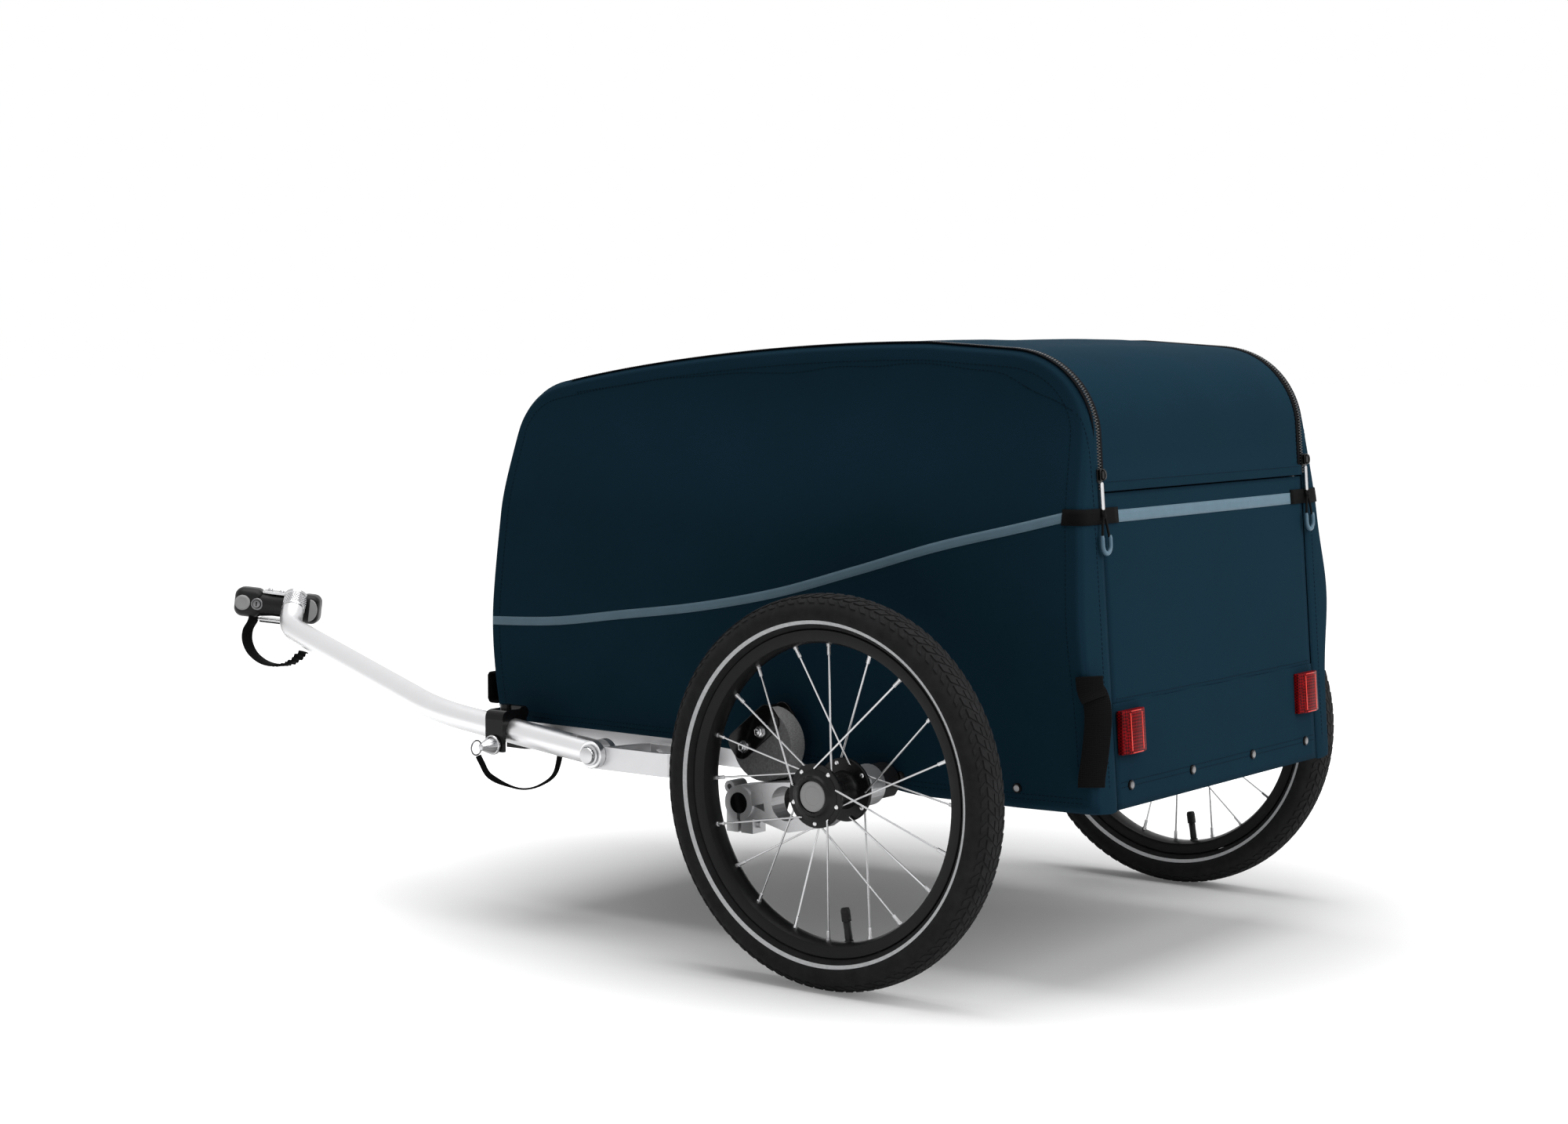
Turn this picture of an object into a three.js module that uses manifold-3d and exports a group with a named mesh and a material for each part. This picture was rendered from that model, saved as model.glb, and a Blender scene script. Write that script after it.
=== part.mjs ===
// Two-wheeled cargo bike trailer: a fabric-covered load box with a zipped lid on an aluminium frame,
// sprung swing arms with push-release wheels, and a bent tow bar that folds down at its rear bolt.
// Millimetres. +X points forward to the hitch, +Y to the left wheel, +Z up; the ground is at Z = 0.
import * as THREE from "three";
import { mergeVertices } from "three/addons/utils/BufferGeometryUtils.js";
import Module from "manifold-3d";

const wasm = await Module();
wasm.setup();

// Driving dimensions

const clearance = 0.3;
const overrun = 5;

const wheel = { radius: 198, armOffset: 54, segments: 40 };
const tyre = { width: 44, height: 34.7 };
const rim = { width: 26, depth: 12, wellDepth: 2.5, wellWidth: 14 };
const spokes = { count: 20, radius: 1, nippleRadius: 1.9, nippleLength: 12, nippleSink: 1.2, zigzag: 3 };
const valve = { stemRadius: 3.9, stemLength: 20, capRadius: 5, capLength: 14 };
const hub = {
  flangeSpacing: 48, flangeRadius: 32, flangeThickness: 4, spokeCircle: 27.5, barrelRadius: 19,
  waistRadius: 16, endRadius: 26, endLength: 5, innerLength: 4.5, innerRadius: 15, segments: 28,
};
const axle = {
  radius: 6, runningClearance: 0.15, headRadius: 11, headLength: 6, chamfer: 1, boreRadius: 2.8,
  boreDepth: 14, segments: 20,
};
const button = {
  radius: 15.6, height: 5, travel: 3, rimClearance: 0.4, dish: 0.8, dishRadius: 12, stemRadius: 2.5,
};

const body = {
  length: 809, height: 452, rear: -256, hem: 189, halfWidth: 252, skin: 2.5, crown: 12,
  edgeRadius: 9, sideReturn: 39, lean: 26, leanStart: 450, leanEnd: 600,
};
const bodyFront = body.rear + body.length;
const lidHalfWidth = body.halfWidth - body.sideReturn;
const lid = { rearHem: 497, seamGap: 0.6 };
const rail = { width: 24, height: 30, bottom: 192, rearInset: 15, frontInset: 26 };
const member = { width: 25, height: 22 };
const floorPlate = { thickness: 3 };
const hoop = { tubeRadius: 8.5, sides: 8, steps: 28 };
const crossbar = { radius: 7, sides: 10, endGap: 1 };

const pivot = { x: 148, z: 167, tubeRadius: 11, clearance: 0.15 };
const arm = {
  thickness: 22, sideGap: 43, ringRadius: 18, ringExtra: 2, bossRadius: 21, bossLength: 33, bossTaper: 2,
  secondBoreRadius: 18, slotWidth: 4, lugDepth: 31, lugWidth: 34, clampBoltRadius: 4, clampHeadRadius: 7,
  earRadius: 6.5, earHoleRadius: 3,
};
const puck = {
  radius: 38, thickness: 24, sideGap: 23.3, x: 124.6, z: 228.7, chordShare: 0.72, chordAngle: 50.8,
};
const puckPlate = {
  thickness: 3, left: -34, right: 37, cornerRadius: 11, shankRadius: 3.5, boltRadius: 5.5, boltHeight: 4,
  boltDepth: 10, boltCentre: -3.8, boltSpacing: 27.5, footReach: 26,
};
const axleCap = { radius: 19.5, length: 26, flatDrop: 14 };

const tow = {
  tubeRadius: 14, sideGap: 48, pivotSetback: 207, pivotZ: 199.5, firstBendReach: 31, firstBendZ: 226,
  drawReach: 415, drawY: 171, drawZ: 286.4, neckLength: 28, sides: 14, steps: 32, endRadius: 15,
  slotReach: 33,
};
const towY = body.halfWidth + tow.sideGap;
const towPivotX = bodyFront - tow.pivotSetback;
const bracket = {
  thickness: 5, height: 25, drop: 3.7, rearReach: 106, cornerRadius: 16, boltRadius: 7, boltHeight: 3.5,
  noseSetback: 2,
};
const pivotBolt = { radius: 5, headRadius: 9, headHeight: 5, ringHeight: 2, clearance: 0.15 };
const yoke = {
  setback: 72, width: 26, wall: 5, topWall: 8, legDrop: 23, bossRadius: 8, knobRadius: 6, knobHeight: 5,
};
const yokeX = bodyFront - yoke.setback;
const pin = {
  radius: 3, reach: 7, discRadius: 11, discHeight: 4, coneRadius: 8.8, coneHeight: 17, tipRadius: 3.6,
  ringRadius: 8, ringWire: 1,
};
const lanyard = { width: 7, thickness: 1.6 };
const collar = { radius: 15, length: 24, grooves: 4, grooveDepth: 0.8, segments: 28 };
const head = {
  length: 108, rearReach: 30, height: 37, depth: 34, lobeLength: 37, rearLobeLength: 27, lobeRound: 14,
  rearLobeRound: 11.7, sink: 7.5, neckRadius: 16.5, yaw: 37, tilt: 6.8, plateThickness: 3, plateWidth: 26,
};
const headButton = {
  radius: 9.5, height: 3, travel: 2.5, forward: 2, sideWidth: 10, sideHeight: 28, sideInset: 1.5,
};
const lockCore = { radius: 5, height: 1.6, gap: 3, slotWidth: 1.6, slotLength: 6, slotDepth: 0.8 };
const strap = { width: 14, thickness: 3.2 };

const zip = { width: 6, height: 1.8, lowerEnd: 500 };
const slider = { width: 9, height: 13, depth: 5, z: 513 };
const puller = {
  tabWidth: 4.5, tabLength: 26, tabThickness: 1.6, tabGap: 1.1, cordRadius: 1.2, loopWidth: 15,
  loopLength: 46,
};
const band = { height: 15, thickness: 1.5, reach: 27, sideReach: 9, standOff: 0.6, z: 474 };
const reflector = { width: 47, height: 48, depth: 10, edgeGap: 26, centreZ: 262, bulge: 3 };
const webbing = { width: 27, thickness: 1.8, length: 106, topZ: 322 };
const frontLoop = { width: 24, height: 36, reach: 15, z: 251 };

// Materials

function material(color, roughness, metalness = 0) {
  return new THREE.MeshStandardMaterial({ color, roughness, metalness });
}

const silver = material(0xd2d3d3, 0.32, 0.9);
const castSilver = material(0xb9babb, 0.45, 0.85);
const spokeSteel = material(0xc9cbcc, 0.25, 1);
const blackPaint = material(0x141415, 0.35, 0.2);
const blackPlastic = material(0x18191a, 0.5);
const tyreRubber = material(0x1f2021, 0.85);
const elastomer = material(0x3b3c3e, 0.75);
const greyPlastic = material(0x9b9c9c, 0.5);
const navyFabric = material(0x0c2233, 0.9);
const strapWeb = material(0x0c0c0d, 0.9);
const cordGrey = material(0x4c6474, 0.7);
const redLens = material(0xb01218, 0.2);
const floorBlack = material(0x1a1b1c, 0.8);

// Solids from three.js geometry, joined and cut

function solid(geometry) {
  const bare = geometry.clone();
  bare.deleteAttribute("normal");
  bare.deleteAttribute("uv");
  const merged = mergeVertices(bare, 1e-4);
  const triVerts = new Uint32Array(merged.index.array);
  const vertProperties = new Float32Array(merged.attributes.position.array);
  const made = new wasm.Manifold(new wasm.Mesh({ numProp: 3, vertProperties, triVerts }));
  if (made.volume() > 0) return made;
  for (let i = 0; i < triVerts.length; i += 3) {
    [triVerts[i + 1], triVerts[i + 2]] = [triVerts[i + 2], triVerts[i + 1]];
  }
  return new wasm.Manifold(new wasm.Mesh({ numProp: 3, vertProperties, triVerts }));
}

function join(...geometries) {
  return geometries.map(asSolid).reduce((whole, piece) => whole.add(piece));
}

function cut(base, ...tools) {
  return tools.map(asSolid).reduce((whole, piece) => whole.subtract(piece), asSolid(base));
}

function asSolid(shape) {
  return shape.isBufferGeometry ? solid(shape) : shape;
}

function geometryOf(shape) {
  const mesh = shape.getMesh();
  const stride = mesh.numProp;
  const positions = new Float32Array(mesh.numVert * 3);
  for (let i = 0; i < mesh.numVert; i++) {
    positions.set(mesh.vertProperties.subarray(i * stride, i * stride + 3), i * 3);
  }
  const geometry = new THREE.BufferGeometry();
  geometry.setAttribute("position", new THREE.BufferAttribute(positions, 3));
  geometry.setIndex(new THREE.BufferAttribute(new Uint32Array(mesh.triVerts), 1));
  const flat = geometry.toNonIndexed();
  flat.computeVertexNormals();
  return flat;
}

function node(parent, name, shape, look) {
  const mesh = new THREE.Mesh(geometryOf(asSolid(shape)), look);
  mesh.name = name;
  parent.add(mesh);
  return mesh;
}

// Basic shapes in the trailer's axes

const quarterTurn = Math.PI / 2;
const fullTurn = 2 * Math.PI;

function box(x0, x1, y0, y1, z0, z1) {
  const geometry = new THREE.BoxGeometry(x1 - x0, y1 - y0, z1 - z0);
  return geometry.translate((x0 + x1) / 2, (y0 + y1) / 2, (z0 + z1) / 2);
}

function rodY(radius, y0, y1, x, z, sides = 24) {
  const geometry = new THREE.CylinderGeometry(radius, radius, y1 - y0, sides);
  return geometry.translate(x, (y0 + y1) / 2, z);
}

function rodX(radius, x0, x1, y, z, sides = 16) {
  const geometry = new THREE.CylinderGeometry(radius, radius, x1 - x0, sides);
  return geometry.rotateZ(quarterTurn).translate((x0 + x1) / 2, y, z);
}

function rodZ(radius, z0, z1, x, y, sides = 16) {
  const geometry = new THREE.CylinderGeometry(radius, radius, z1 - z0, sides);
  return geometry.rotateX(quarterTurn).translate(x, y, (z0 + z1) / 2);
}

function rodBetween(from, to, radius, sides) {
  const along = to.clone().sub(from);
  const geometry = new THREE.CylinderGeometry(radius, radius, along.length(), sides);
  const turn = new THREE.Quaternion();
  turn.setFromUnitVectors(new THREE.Vector3(0, 1, 0), along.clone().normalize());
  return geometry.applyQuaternion(turn).translate(...from.clone().add(to).multiplyScalar(0.5).toArray());
}

// A profile of [radius, y] points turned about the lateral axis through (x, z).
function turnedY(profile, segments, x = 0, z = 0) {
  const points = profile.map(([r, y]) => new THREE.Vector2(r, y));
  return new THREE.LatheGeometry(points, segments).translate(x, 0, z);
}

// A shape drawn in (x, z) and extruded across the trailer from y0 to y1.
function plateXZ(shape, y0, y1, curveSegments = 10) {
  const geometry = new THREE.ExtrudeGeometry(shape, { depth: y1 - y0, bevelEnabled: false, curveSegments });
  return geometry.rotateX(quarterTurn).translate(0, y1, 0);
}

// A shape drawn in (x, y) and extruded upwards from z0 to z1.
function plateXY(shape, z0, z1, curveSegments = 10) {
  const geometry = new THREE.ExtrudeGeometry(shape, { depth: z1 - z0, bevelEnabled: false, curveSegments });
  return geometry.translate(0, 0, z0);
}

function polygon(points) {
  return new THREE.Shape(points.map(([a, b]) => new THREE.Vector2(a, b)));
}

function roundedRectangle(a0, a1, b0, b1, radius) {
  const shape = new THREE.Shape();
  shape.moveTo(a0 + radius, b0);
  shape.lineTo(a1 - radius, b0);
  shape.quadraticCurveTo(a1, b0, a1, b0 + radius);
  shape.lineTo(a1, b1 - radius);
  shape.quadraticCurveTo(a1, b1, a1 - radius, b1);
  shape.lineTo(a0 + radius, b1);
  shape.quadraticCurveTo(a0, b1, a0, b1 - radius);
  shape.lineTo(a0, b0 + radius);
  shape.quadraticCurveTo(a0, b0, a0 + radius, b0);
  return shape;
}

function sweep(section, curve, steps) {
  const settings = { extrudePath: curve, steps, bevelEnabled: false, curveSegments: 2 };
  return new THREE.ExtrudeGeometry(section, settings);
}

function disc(radius, sides) {
  const points = [];
  for (let i = 0; i < sides; i++) {
    const angle = (fullTurn * i) / sides;
    points.push([radius * Math.cos(angle), radius * Math.sin(angle)]);
  }
  return polygon(points);
}

// Straight runs joined by round bends; reach is how far each bend starts from its corner.
function bentPath(corners, reaches) {
  const path = new THREE.CurvePath();
  let from = corners[0];
  for (let i = 1; i < corners.length - 1; i++) {
    const back = corners[i - 1].clone().sub(corners[i]).normalize().multiplyScalar(reaches[i - 1]);
    const on = corners[i + 1].clone().sub(corners[i]).normalize().multiplyScalar(reaches[i - 1]);
    const bendStart = corners[i].clone().add(back);
    const bendEnd = corners[i].clone().add(on);
    path.add(new THREE.LineCurve3(from, bendStart));
    path.add(new THREE.QuadraticBezierCurve3(bendStart, corners[i], bendEnd));
    from = bendEnd;
  }
  path.add(new THREE.LineCurve3(from, corners[corners.length - 1]));
  return path;
}

function polar(radius, angle, y) {
  return new THREE.Vector3(radius * Math.sin(angle), y, radius * Math.cos(angle));
}

// Side outline of the load box, from the rear hem up over the roof and down to the front hem

const outlineShares = {
  rearHem: [0.0124, 0.02],
  rearCorner: [0.0457, 0.814],
  rearCornerShares: [[0.052, 0.892], [0.09, 0.978]],
  roofRear: [0.157, 0.986],
  roofPeak: [0.283, 1],
  roofShares: [[0.49, 1], [0.724, 0.958]],
  roofFront: [0.881, 0.903],
  frontCornerControl: [0.947, 0.887],
  frontShoulder: [0.964, 0.794],
  frontBelly: [1, 0.319],
  frontBellyControl: [0.975, 0.533],
  frontHemControl: [0.975, 0.179],
  frontHem: [0.981, 0.053],
};
const hemShares = [[0.65, 0.053], [0.46, 0.035], [0.28, 0.0], [0.13, 0.002]];
const outlineDivisions = 6;

function leanAt(z) {
  return body.lean * THREE.MathUtils.smoothstep(z, body.leanStart, body.leanEnd);
}

function onBody([u, v]) {
  return new THREE.Vector2(body.rear + u * body.length, body.hem + v * body.height);
}

function bend(...shares) {
  return new THREE.QuadraticBezierCurve(...shares.map(onBody));
}

function bodyCurves() {
  const o = outlineShares;
  return [
    new THREE.LineCurve(onBody(o.rearHem), onBody(o.rearCorner)),
    new THREE.CubicBezierCurve(onBody(o.rearCorner), ...o.rearCornerShares.map(onBody), onBody(o.roofRear)),
    new THREE.LineCurve(onBody(o.roofRear), onBody(o.roofPeak)),
    new THREE.CubicBezierCurve(onBody(o.roofPeak), ...o.roofShares.map(onBody), onBody(o.roofFront)),
    bend(o.roofFront, o.frontCornerControl, o.frontShoulder),
    bend(o.frontShoulder, o.frontBellyControl, o.frontBelly),
    bend(o.frontBelly, o.frontHemControl, o.frontHem),
  ];
}

// Points of the outline from the rear hem to the front hem; the rear face stays one straight run.
function overBody() {
  const points = [];
  bodyCurves().forEach((curve) => {
    const divisions = curve.isLineCurve ? 1 : outlineDivisions;
    const run = curve.getPoints(divisions);
    points.push(...(points.length ? run.slice(1) : run));
  });
  return points;
}

function aroundBody() {
  return [...overBody(), ...hemShares.map(onBody)];
}

// The same points moved inwards by distance, square to the outline.
function insetOpen(points, distance) {
  return points.map((point, i) => {
    const before = points[Math.max(i - 1, 0)];
    const after = points[Math.min(i + 1, points.length - 1)];
    const along = after.clone().sub(before).normalize();
    return new THREE.Vector2(point.x + along.y * distance, point.y - along.x * distance);
  });
}

function insetClosed(points, distance) {
  return points.map((point, i) => {
    const before = points[(i + points.length - 1) % points.length];
    const after = points[(i + 1) % points.length];
    const along = after.clone().sub(before).normalize();
    return new THREE.Vector2(point.x + along.y * distance, point.y - along.x * distance);
  });
}

// Rear face: a straight line from the rear hem to the rear corner.
const rearBottom = onBody(outlineShares.rearHem);
const rearTop = onBody(outlineShares.rearCorner);
const rearSlope = Math.atan2(rearTop.x - rearBottom.x, rearTop.y - rearBottom.y);

function rearFaceX(z) {
  return rearBottom.x + (z - rearBottom.y) * Math.tan(rearSlope);
}

// The front face's x at a height, from the outline's own points.
function frontFaceX(z) {
  const front = overBody().reverse();
  const above = front.findIndex((p) => p.y > z);
  const [low, high] = [front[above - 1], front[above]];
  return low.x + ((high.x - low.x) * (z - low.y)) / (high.y - low.y);
}

// A skin along part of the outline, extruded across the trailer.
function skinStrip(points, thickness, y0, y1) {
  const inner = insetOpen(points, thickness);
  return plateXZ(new THREE.Shape([...points, ...inner.reverse()]), y0, y1);
}

function cutAtHeight(points, z) {
  const kept = points.filter((point) => point.y > z);
  return [new THREE.Vector2(rearFaceX(z), z), ...kept];
}

// Fabric cover: sides with their roof and rear returns, front, rear and lid

// Shares of the panel's size and crown for the rings that round and crown a side panel.
const crownRingShares = [[0.86, 0.3], [0.62, 0.68], [0.34, 0.92]];

// A closed surface of rings, capped flat at its first ring and to a point at its last.
function ringSurface(rings, tip) {
  const count = rings[0].length;
  const vertices = rings.flat();
  const faces = [];
  const flatRing = rings[0].map((p) => new THREE.Vector2(p.x, p.z));
  const ringTurn = Math.sign(THREE.ShapeUtils.area(flatRing));
  THREE.ShapeUtils.triangulateShape(flatRing, []).forEach(([a, b, c]) => {
    const turn = Math.sign(THREE.ShapeUtils.area([flatRing[a], flatRing[b], flatRing[c]]));
    faces.push(...(turn === ringTurn ? [a, c, b] : [a, b, c]));
  });
  for (let r = 0; r + 1 < rings.length; r++) {
    for (let i = 0; i < count; i++) {
      const a = r * count + i;
      const b = r * count + ((i + 1) % count);
      faces.push(a, b, b + count, a, b + count, a + count);
    }
  }
  const last = (rings.length - 1) * count;
  vertices.push(tip);
  for (let i = 0; i < count; i++) faces.push(last + i, last + ((i + 1) % count), vertices.length - 1);
  const geometry = new THREE.BufferGeometry().setFromPoints(vertices);
  geometry.setIndex(faces);
  return geometry;
}

function sideVolume(inset, y0, faceY) {
  const outline = insetClosed(aroundBody(), inset);
  const centre = new THREE.Vector2(body.rear + body.length / 2, body.hem + body.height / 2);
  const ring = (points, y) => points.map((p) => new THREE.Vector3(p.x, y - leanAt(p.y), p.y));
  const rounded = insetClosed(outline, body.edgeRadius * 0.3);
  const rings = [
    outline.map((p) => new THREE.Vector3(p.x, y0, p.y)),
    ring(outline, faceY - body.edgeRadius),
    ring(rounded, faceY - body.edgeRadius * 0.3),
    ring(insetClosed(outline, body.edgeRadius), faceY),
  ];
  crownRingShares.forEach(([size, rise]) => {
    const scaled = outline.map((p) => p.clone().sub(centre).multiplyScalar(size).add(centre));
    rings.push(ring(scaled, faceY + body.crown * rise));
  });
  return ringSurface(rings, new THREE.Vector3(centre.x, faceY + body.crown, centre.y));
}

const railOuter = body.halfWidth - body.skin - clearance;
const railTop = rail.bottom + rail.height;

function coverSide() {
  const shell = cut(
    sideVolume(0, lidHalfWidth, body.halfWidth),
    sideVolume(body.skin, lidHalfWidth - overrun, body.halfWidth - body.skin),
  );
  const inner = body.halfWidth - body.skin;
  const underneath = box(
    body.rear - overrun, bodyFront + overrun, lidHalfWidth - overrun, inner,
    body.hem - overrun, railTop,
  );
  return cut(shell, underneath);
}

const roofJoin = onBody(outlineShares.roofFront);
const lidEdge = lidHalfWidth - lid.seamGap;

// The lid's seam with the front panel is one of the outline's own points.
function roofJoinIndex(points) {
  return points.findIndex((p) => p.distanceTo(roofJoin) < clearance);
}

function coverFront() {
  const outline = overBody();
  const points = outline.slice(roofJoinIndex(outline));
  points[0] = points[0].clone().lerp(points[1], lid.seamGap / points[0].distanceTo(points[1]));
  return skinStrip(points, body.skin, -lidEdge, lidEdge);
}

function lidPanel() {
  const outline = overBody();
  const points = cutAtHeight(outline.slice(0, roofJoinIndex(outline) + 1), lid.rearHem);
  return skinStrip(points, body.skin, -lidEdge, lidEdge);
}

function coverRear() {
  const top = lid.rearHem - lid.seamGap;
  const bottom = new THREE.Vector2(rearFaceX(rearBottom.y), rearBottom.y);
  return skinStrip([bottom, new THREE.Vector2(rearFaceX(top), top)], body.skin, -lidEdge, lidEdge);
}

// Frame under and inside the cover

const railRear = body.rear + rail.rearInset + body.skin;
const railFront = bodyFront - rail.frontInset;
const memberTop = rail.bottom + member.height;
const axleZ = wheel.radius;

function baseFrame() {
  const pieces = [1, -1].map((side) => {
    const edges = [side * railOuter, side * (railOuter - rail.width)].sort((a, b) => a - b);
    return box(railRear, railFront, ...edges, rail.bottom, railTop);
  });
  const reach = railOuter - rail.width / 2;
  const stations = [railRear, pivot.x - member.width / 2, railFront - member.width];
  stations.forEach((x) => pieces.push(box(x, x + member.width, -reach, reach, rail.bottom, memberTop)));
  return join(...pieces);
}

function floorBoard() {
  const reach = railOuter - rail.width - clearance;
  const bottom = memberTop + clearance;
  return box(railRear, railFront, -reach, reach, bottom, bottom + floorPlate.thickness);
}

const hoopY = railOuter - rail.width / 2;
const hoopInset = body.skin + clearance + hoop.tubeRadius + body.edgeRadius;

function hoopPoints() {
  const path = insetOpen(overBody(), hoopInset).filter((p) => p.y > railTop + hoop.tubeRadius);
  const foot = railTop + clearance;
  const first = new THREE.Vector2(rearFaceX(foot) + hoopInset, foot);
  const last = new THREE.Vector2(path[path.length - 1].x, foot);
  return [first, ...path, last];
}

function sideHoop() {
  const curve = new THREE.CatmullRomCurve3(
    hoopPoints().map((p) => new THREE.Vector3(p.x, hoopY - leanAt(p.y), p.y)), false, "centripetal",
  );
  const swept = sweep(disc(hoop.tubeRadius, hoop.sides), curve, hoop.steps);
  const below = box(
    body.rear, bodyFront, hoopY - overrun * hoop.sides, hoopY + overrun * hoop.sides,
    0, railTop + clearance,
  );
  return cut(swept, below);
}

function hoopCorner(share) {
  const target = onBody(share);
  const closer = (best, p) => (p.distanceTo(target) < best.distanceTo(target) ? p : best);
  return hoopPoints().reduce(closer);
}

function upperCrossbar(share) {
  const at = hoopCorner(share);
  const reach = hoopY - leanAt(at.y) - hoop.tubeRadius - crossbar.endGap;
  return rodY(crossbar.radius, -reach, reach, at.x, at.y, crossbar.sides);
}

// Wheels: tyre, rim with laced spokes, valve, hub, axle and release button

const rimOuter = wheel.radius - tyre.height;
const rimInner = rimOuter - rim.depth;
const armCentre = body.halfWidth + arm.sideGap;
const wheelY = armCentre + wheel.armOffset;

// Tyre section: shares of its height above the rim and of its half width.
const tyreSectionShares = [
  [0, 0.52], [0.15, 0.8], [0.38, 0.98], [0.62, 0.95], [0.84, 0.72], [0.965, 0.4], [1, 0],
];

function tyreSolid() {
  const bead = rimOuter + clearance;
  const height = wheel.radius - bead;
  const half = tyreSectionShares.map(([h, w]) => [bead + h * height, (w * tyre.width) / 2]);
  const right = half.map(([r, w]) => [r, wheelY - w]);
  const left = half.slice(0, -1).reverse().map(([r, w]) => [r, wheelY + w]);
  return turnedY([...right, ...left, right[0]], wheel.segments);
}

function rimProfile() {
  const half = rim.width / 2;
  const well = rim.wellWidth / 2;
  const inner = rimInner - rim.wellDepth;
  return [
    [rimInner, wheelY - half], [rimOuter, wheelY - half], [rimOuter, wheelY + half],
    [rimInner, wheelY + half], [inner, wheelY + well], [inner, wheelY - well], [rimInner, wheelY - half],
  ];
}

function lacedRim() {
  const perFlange = spokes.count / 2;
  const step = fullTurn / perFlange;
  const pieces = [turnedY(rimProfile(), wheel.segments)];
  for (let i = 0; i < spokes.count; i++) {
    const flange = i % 2 ? -1 : 1;
    const hole = Math.floor(i / 2);
    const outside = hole % 2 ? 1 : -1;
    const hubAngle = hole * step + (flange > 0 ? 0 : step / 2);
    const rimAngle = hubAngle - outside * step;
    const bentOut = outside > 0 ? spokes.radius : 0;
    const faceOffset = hub.flangeThickness / 2 + spokes.radius + clearance + bentOut;
    const hubY = wheelY + flange * (hub.flangeSpacing / 2 + outside * faceOffset);
    const start = polar(hub.spokeCircle, hubAngle, hubY);
    const endRadius = rimInner - rim.wellDepth + spokes.nippleSink;
    const end = polar(endRadius, rimAngle, wheelY + flange * spokes.zigzag);
    const nippleStart = end.clone().lerp(start, spokes.nippleLength / end.distanceTo(start));
    pieces.push(rodBetween(start, end, spokes.radius, 4));
    pieces.push(rodBetween(nippleStart, end, spokes.nippleRadius, 5));
  }
  return join(...pieces);
}

// The valve stands near the foot of the wheel, midway between two spokes.
function valveStem() {
  const turn = fullTurn / spokes.count / 2;
  const foot = clearance - (rimInner - rim.wellDepth) * Math.cos(fullTurn / wheel.segments / 2);
  const stemEnd = foot + valve.stemLength;
  return join(
    rodZ(valve.stemRadius, foot, stemEnd + clearance, 0, wheelY, 12).rotateY(turn),
    rodZ(valve.capRadius, stemEnd, stemEnd + valve.capLength, 0, wheelY, 12).rotateY(turn),
  );
}

const outerFlange = wheelY + hub.flangeSpacing / 2;
const innerFlange = wheelY - hub.flangeSpacing / 2;
const hubOuterEnd = outerFlange + hub.flangeThickness / 2 + hub.endLength;
const hubInnerEnd = innerFlange - hub.flangeThickness / 2 - hub.innerLength;
const buttonFace = hubOuterEnd + clearance;
const recessFloor = buttonFace - button.height - button.travel - clearance;

function hubShell() {
  const half = hub.flangeThickness / 2;
  const bore = axle.radius + axle.runningClearance;
  const recess = button.radius + button.rimClearance;
  return turnedY([
    [bore, hubInnerEnd], [hub.innerRadius, hubInnerEnd], [hub.innerRadius, innerFlange - half],
    [hub.flangeRadius, innerFlange - half], [hub.flangeRadius, innerFlange + half],
    [hub.barrelRadius, innerFlange + half], [hub.waistRadius, wheelY], [hub.barrelRadius, outerFlange - half],
    [hub.flangeRadius, outerFlange - half], [hub.flangeRadius, outerFlange + half],
    [hub.endRadius, outerFlange + half], [hub.endRadius, hubOuterEnd], [recess, hubOuterEnd],
    [recess, recessFloor], [bore, recessFloor], [bore, hubInnerEnd],
  ], hub.segments);
}

const armInner = armCentre - arm.thickness / 2;
const armOuter = armCentre + arm.thickness / 2;
const bossOuter = hubInnerEnd - axle.headLength / 4 - clearance;
const bossInner = bossOuter - arm.bossLength;
const axleInnerEnd = bossInner - axleCap.length;

function stubAxle() {
  const end = recessFloor - clearance;
  const bore = axle.boreRadius;
  const washer = hubInnerEnd - clearance;
  return turnedY([
    [0, axleInnerEnd], [axle.radius - axle.chamfer, axleInnerEnd],
    [axle.radius, axleInnerEnd + axle.chamfer], [axle.radius, bossOuter + clearance],
    [axle.headRadius, bossOuter + clearance], [axle.headRadius, washer], [axle.radius, washer],
    [axle.radius, end], [bore, end], [bore, end - axle.boreDepth], [0, end - axle.boreDepth],
  ], axle.segments);
}

function releaseButton() {
  const back = buttonFace - button.height;
  const stemEnd = recessFloor - clearance - axle.boreDepth + button.travel + clearance;
  return turnedY([
    [0, stemEnd], [button.stemRadius, stemEnd], [button.stemRadius, back], [button.radius, back],
    [button.radius, buttonFace - button.dish], [button.radius - button.dish, buttonFace],
    [button.dishRadius, buttonFace], [button.dishRadius - button.dish, buttonFace - button.dish],
    [0, buttonFace - button.dish],
  ], axle.segments);
}

// Sprung swing arm, its pivot tube, elastomer puck and bracket

// Outline of the arm's web: shares of the way from the pivot back to the axle, and of the axle's lift.
const webShares = [
  [-0.02, 0.58], [0.27, 0.8], [0.44, 0.88], [0.8, 1.35], [1, 1.6], [1.06, 1], [0.98, 0.4], [0.71, -0.5],
  [0.42, -0.8], [0.2, -0.55], [0.05, -0.45],
];
const windowShares = [[0.1, 0.4], [0.2, 0.42], [0.22, -0.2], [0.12, -0.05]];
const secondBoreShare = [0.4, 0.16];
const earShare = [-0.09, 0.5];

function onArm([along, lift]) {
  return [pivot.x * (1 - along), pivot.z + (axleZ - pivot.z) * lift];
}

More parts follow.
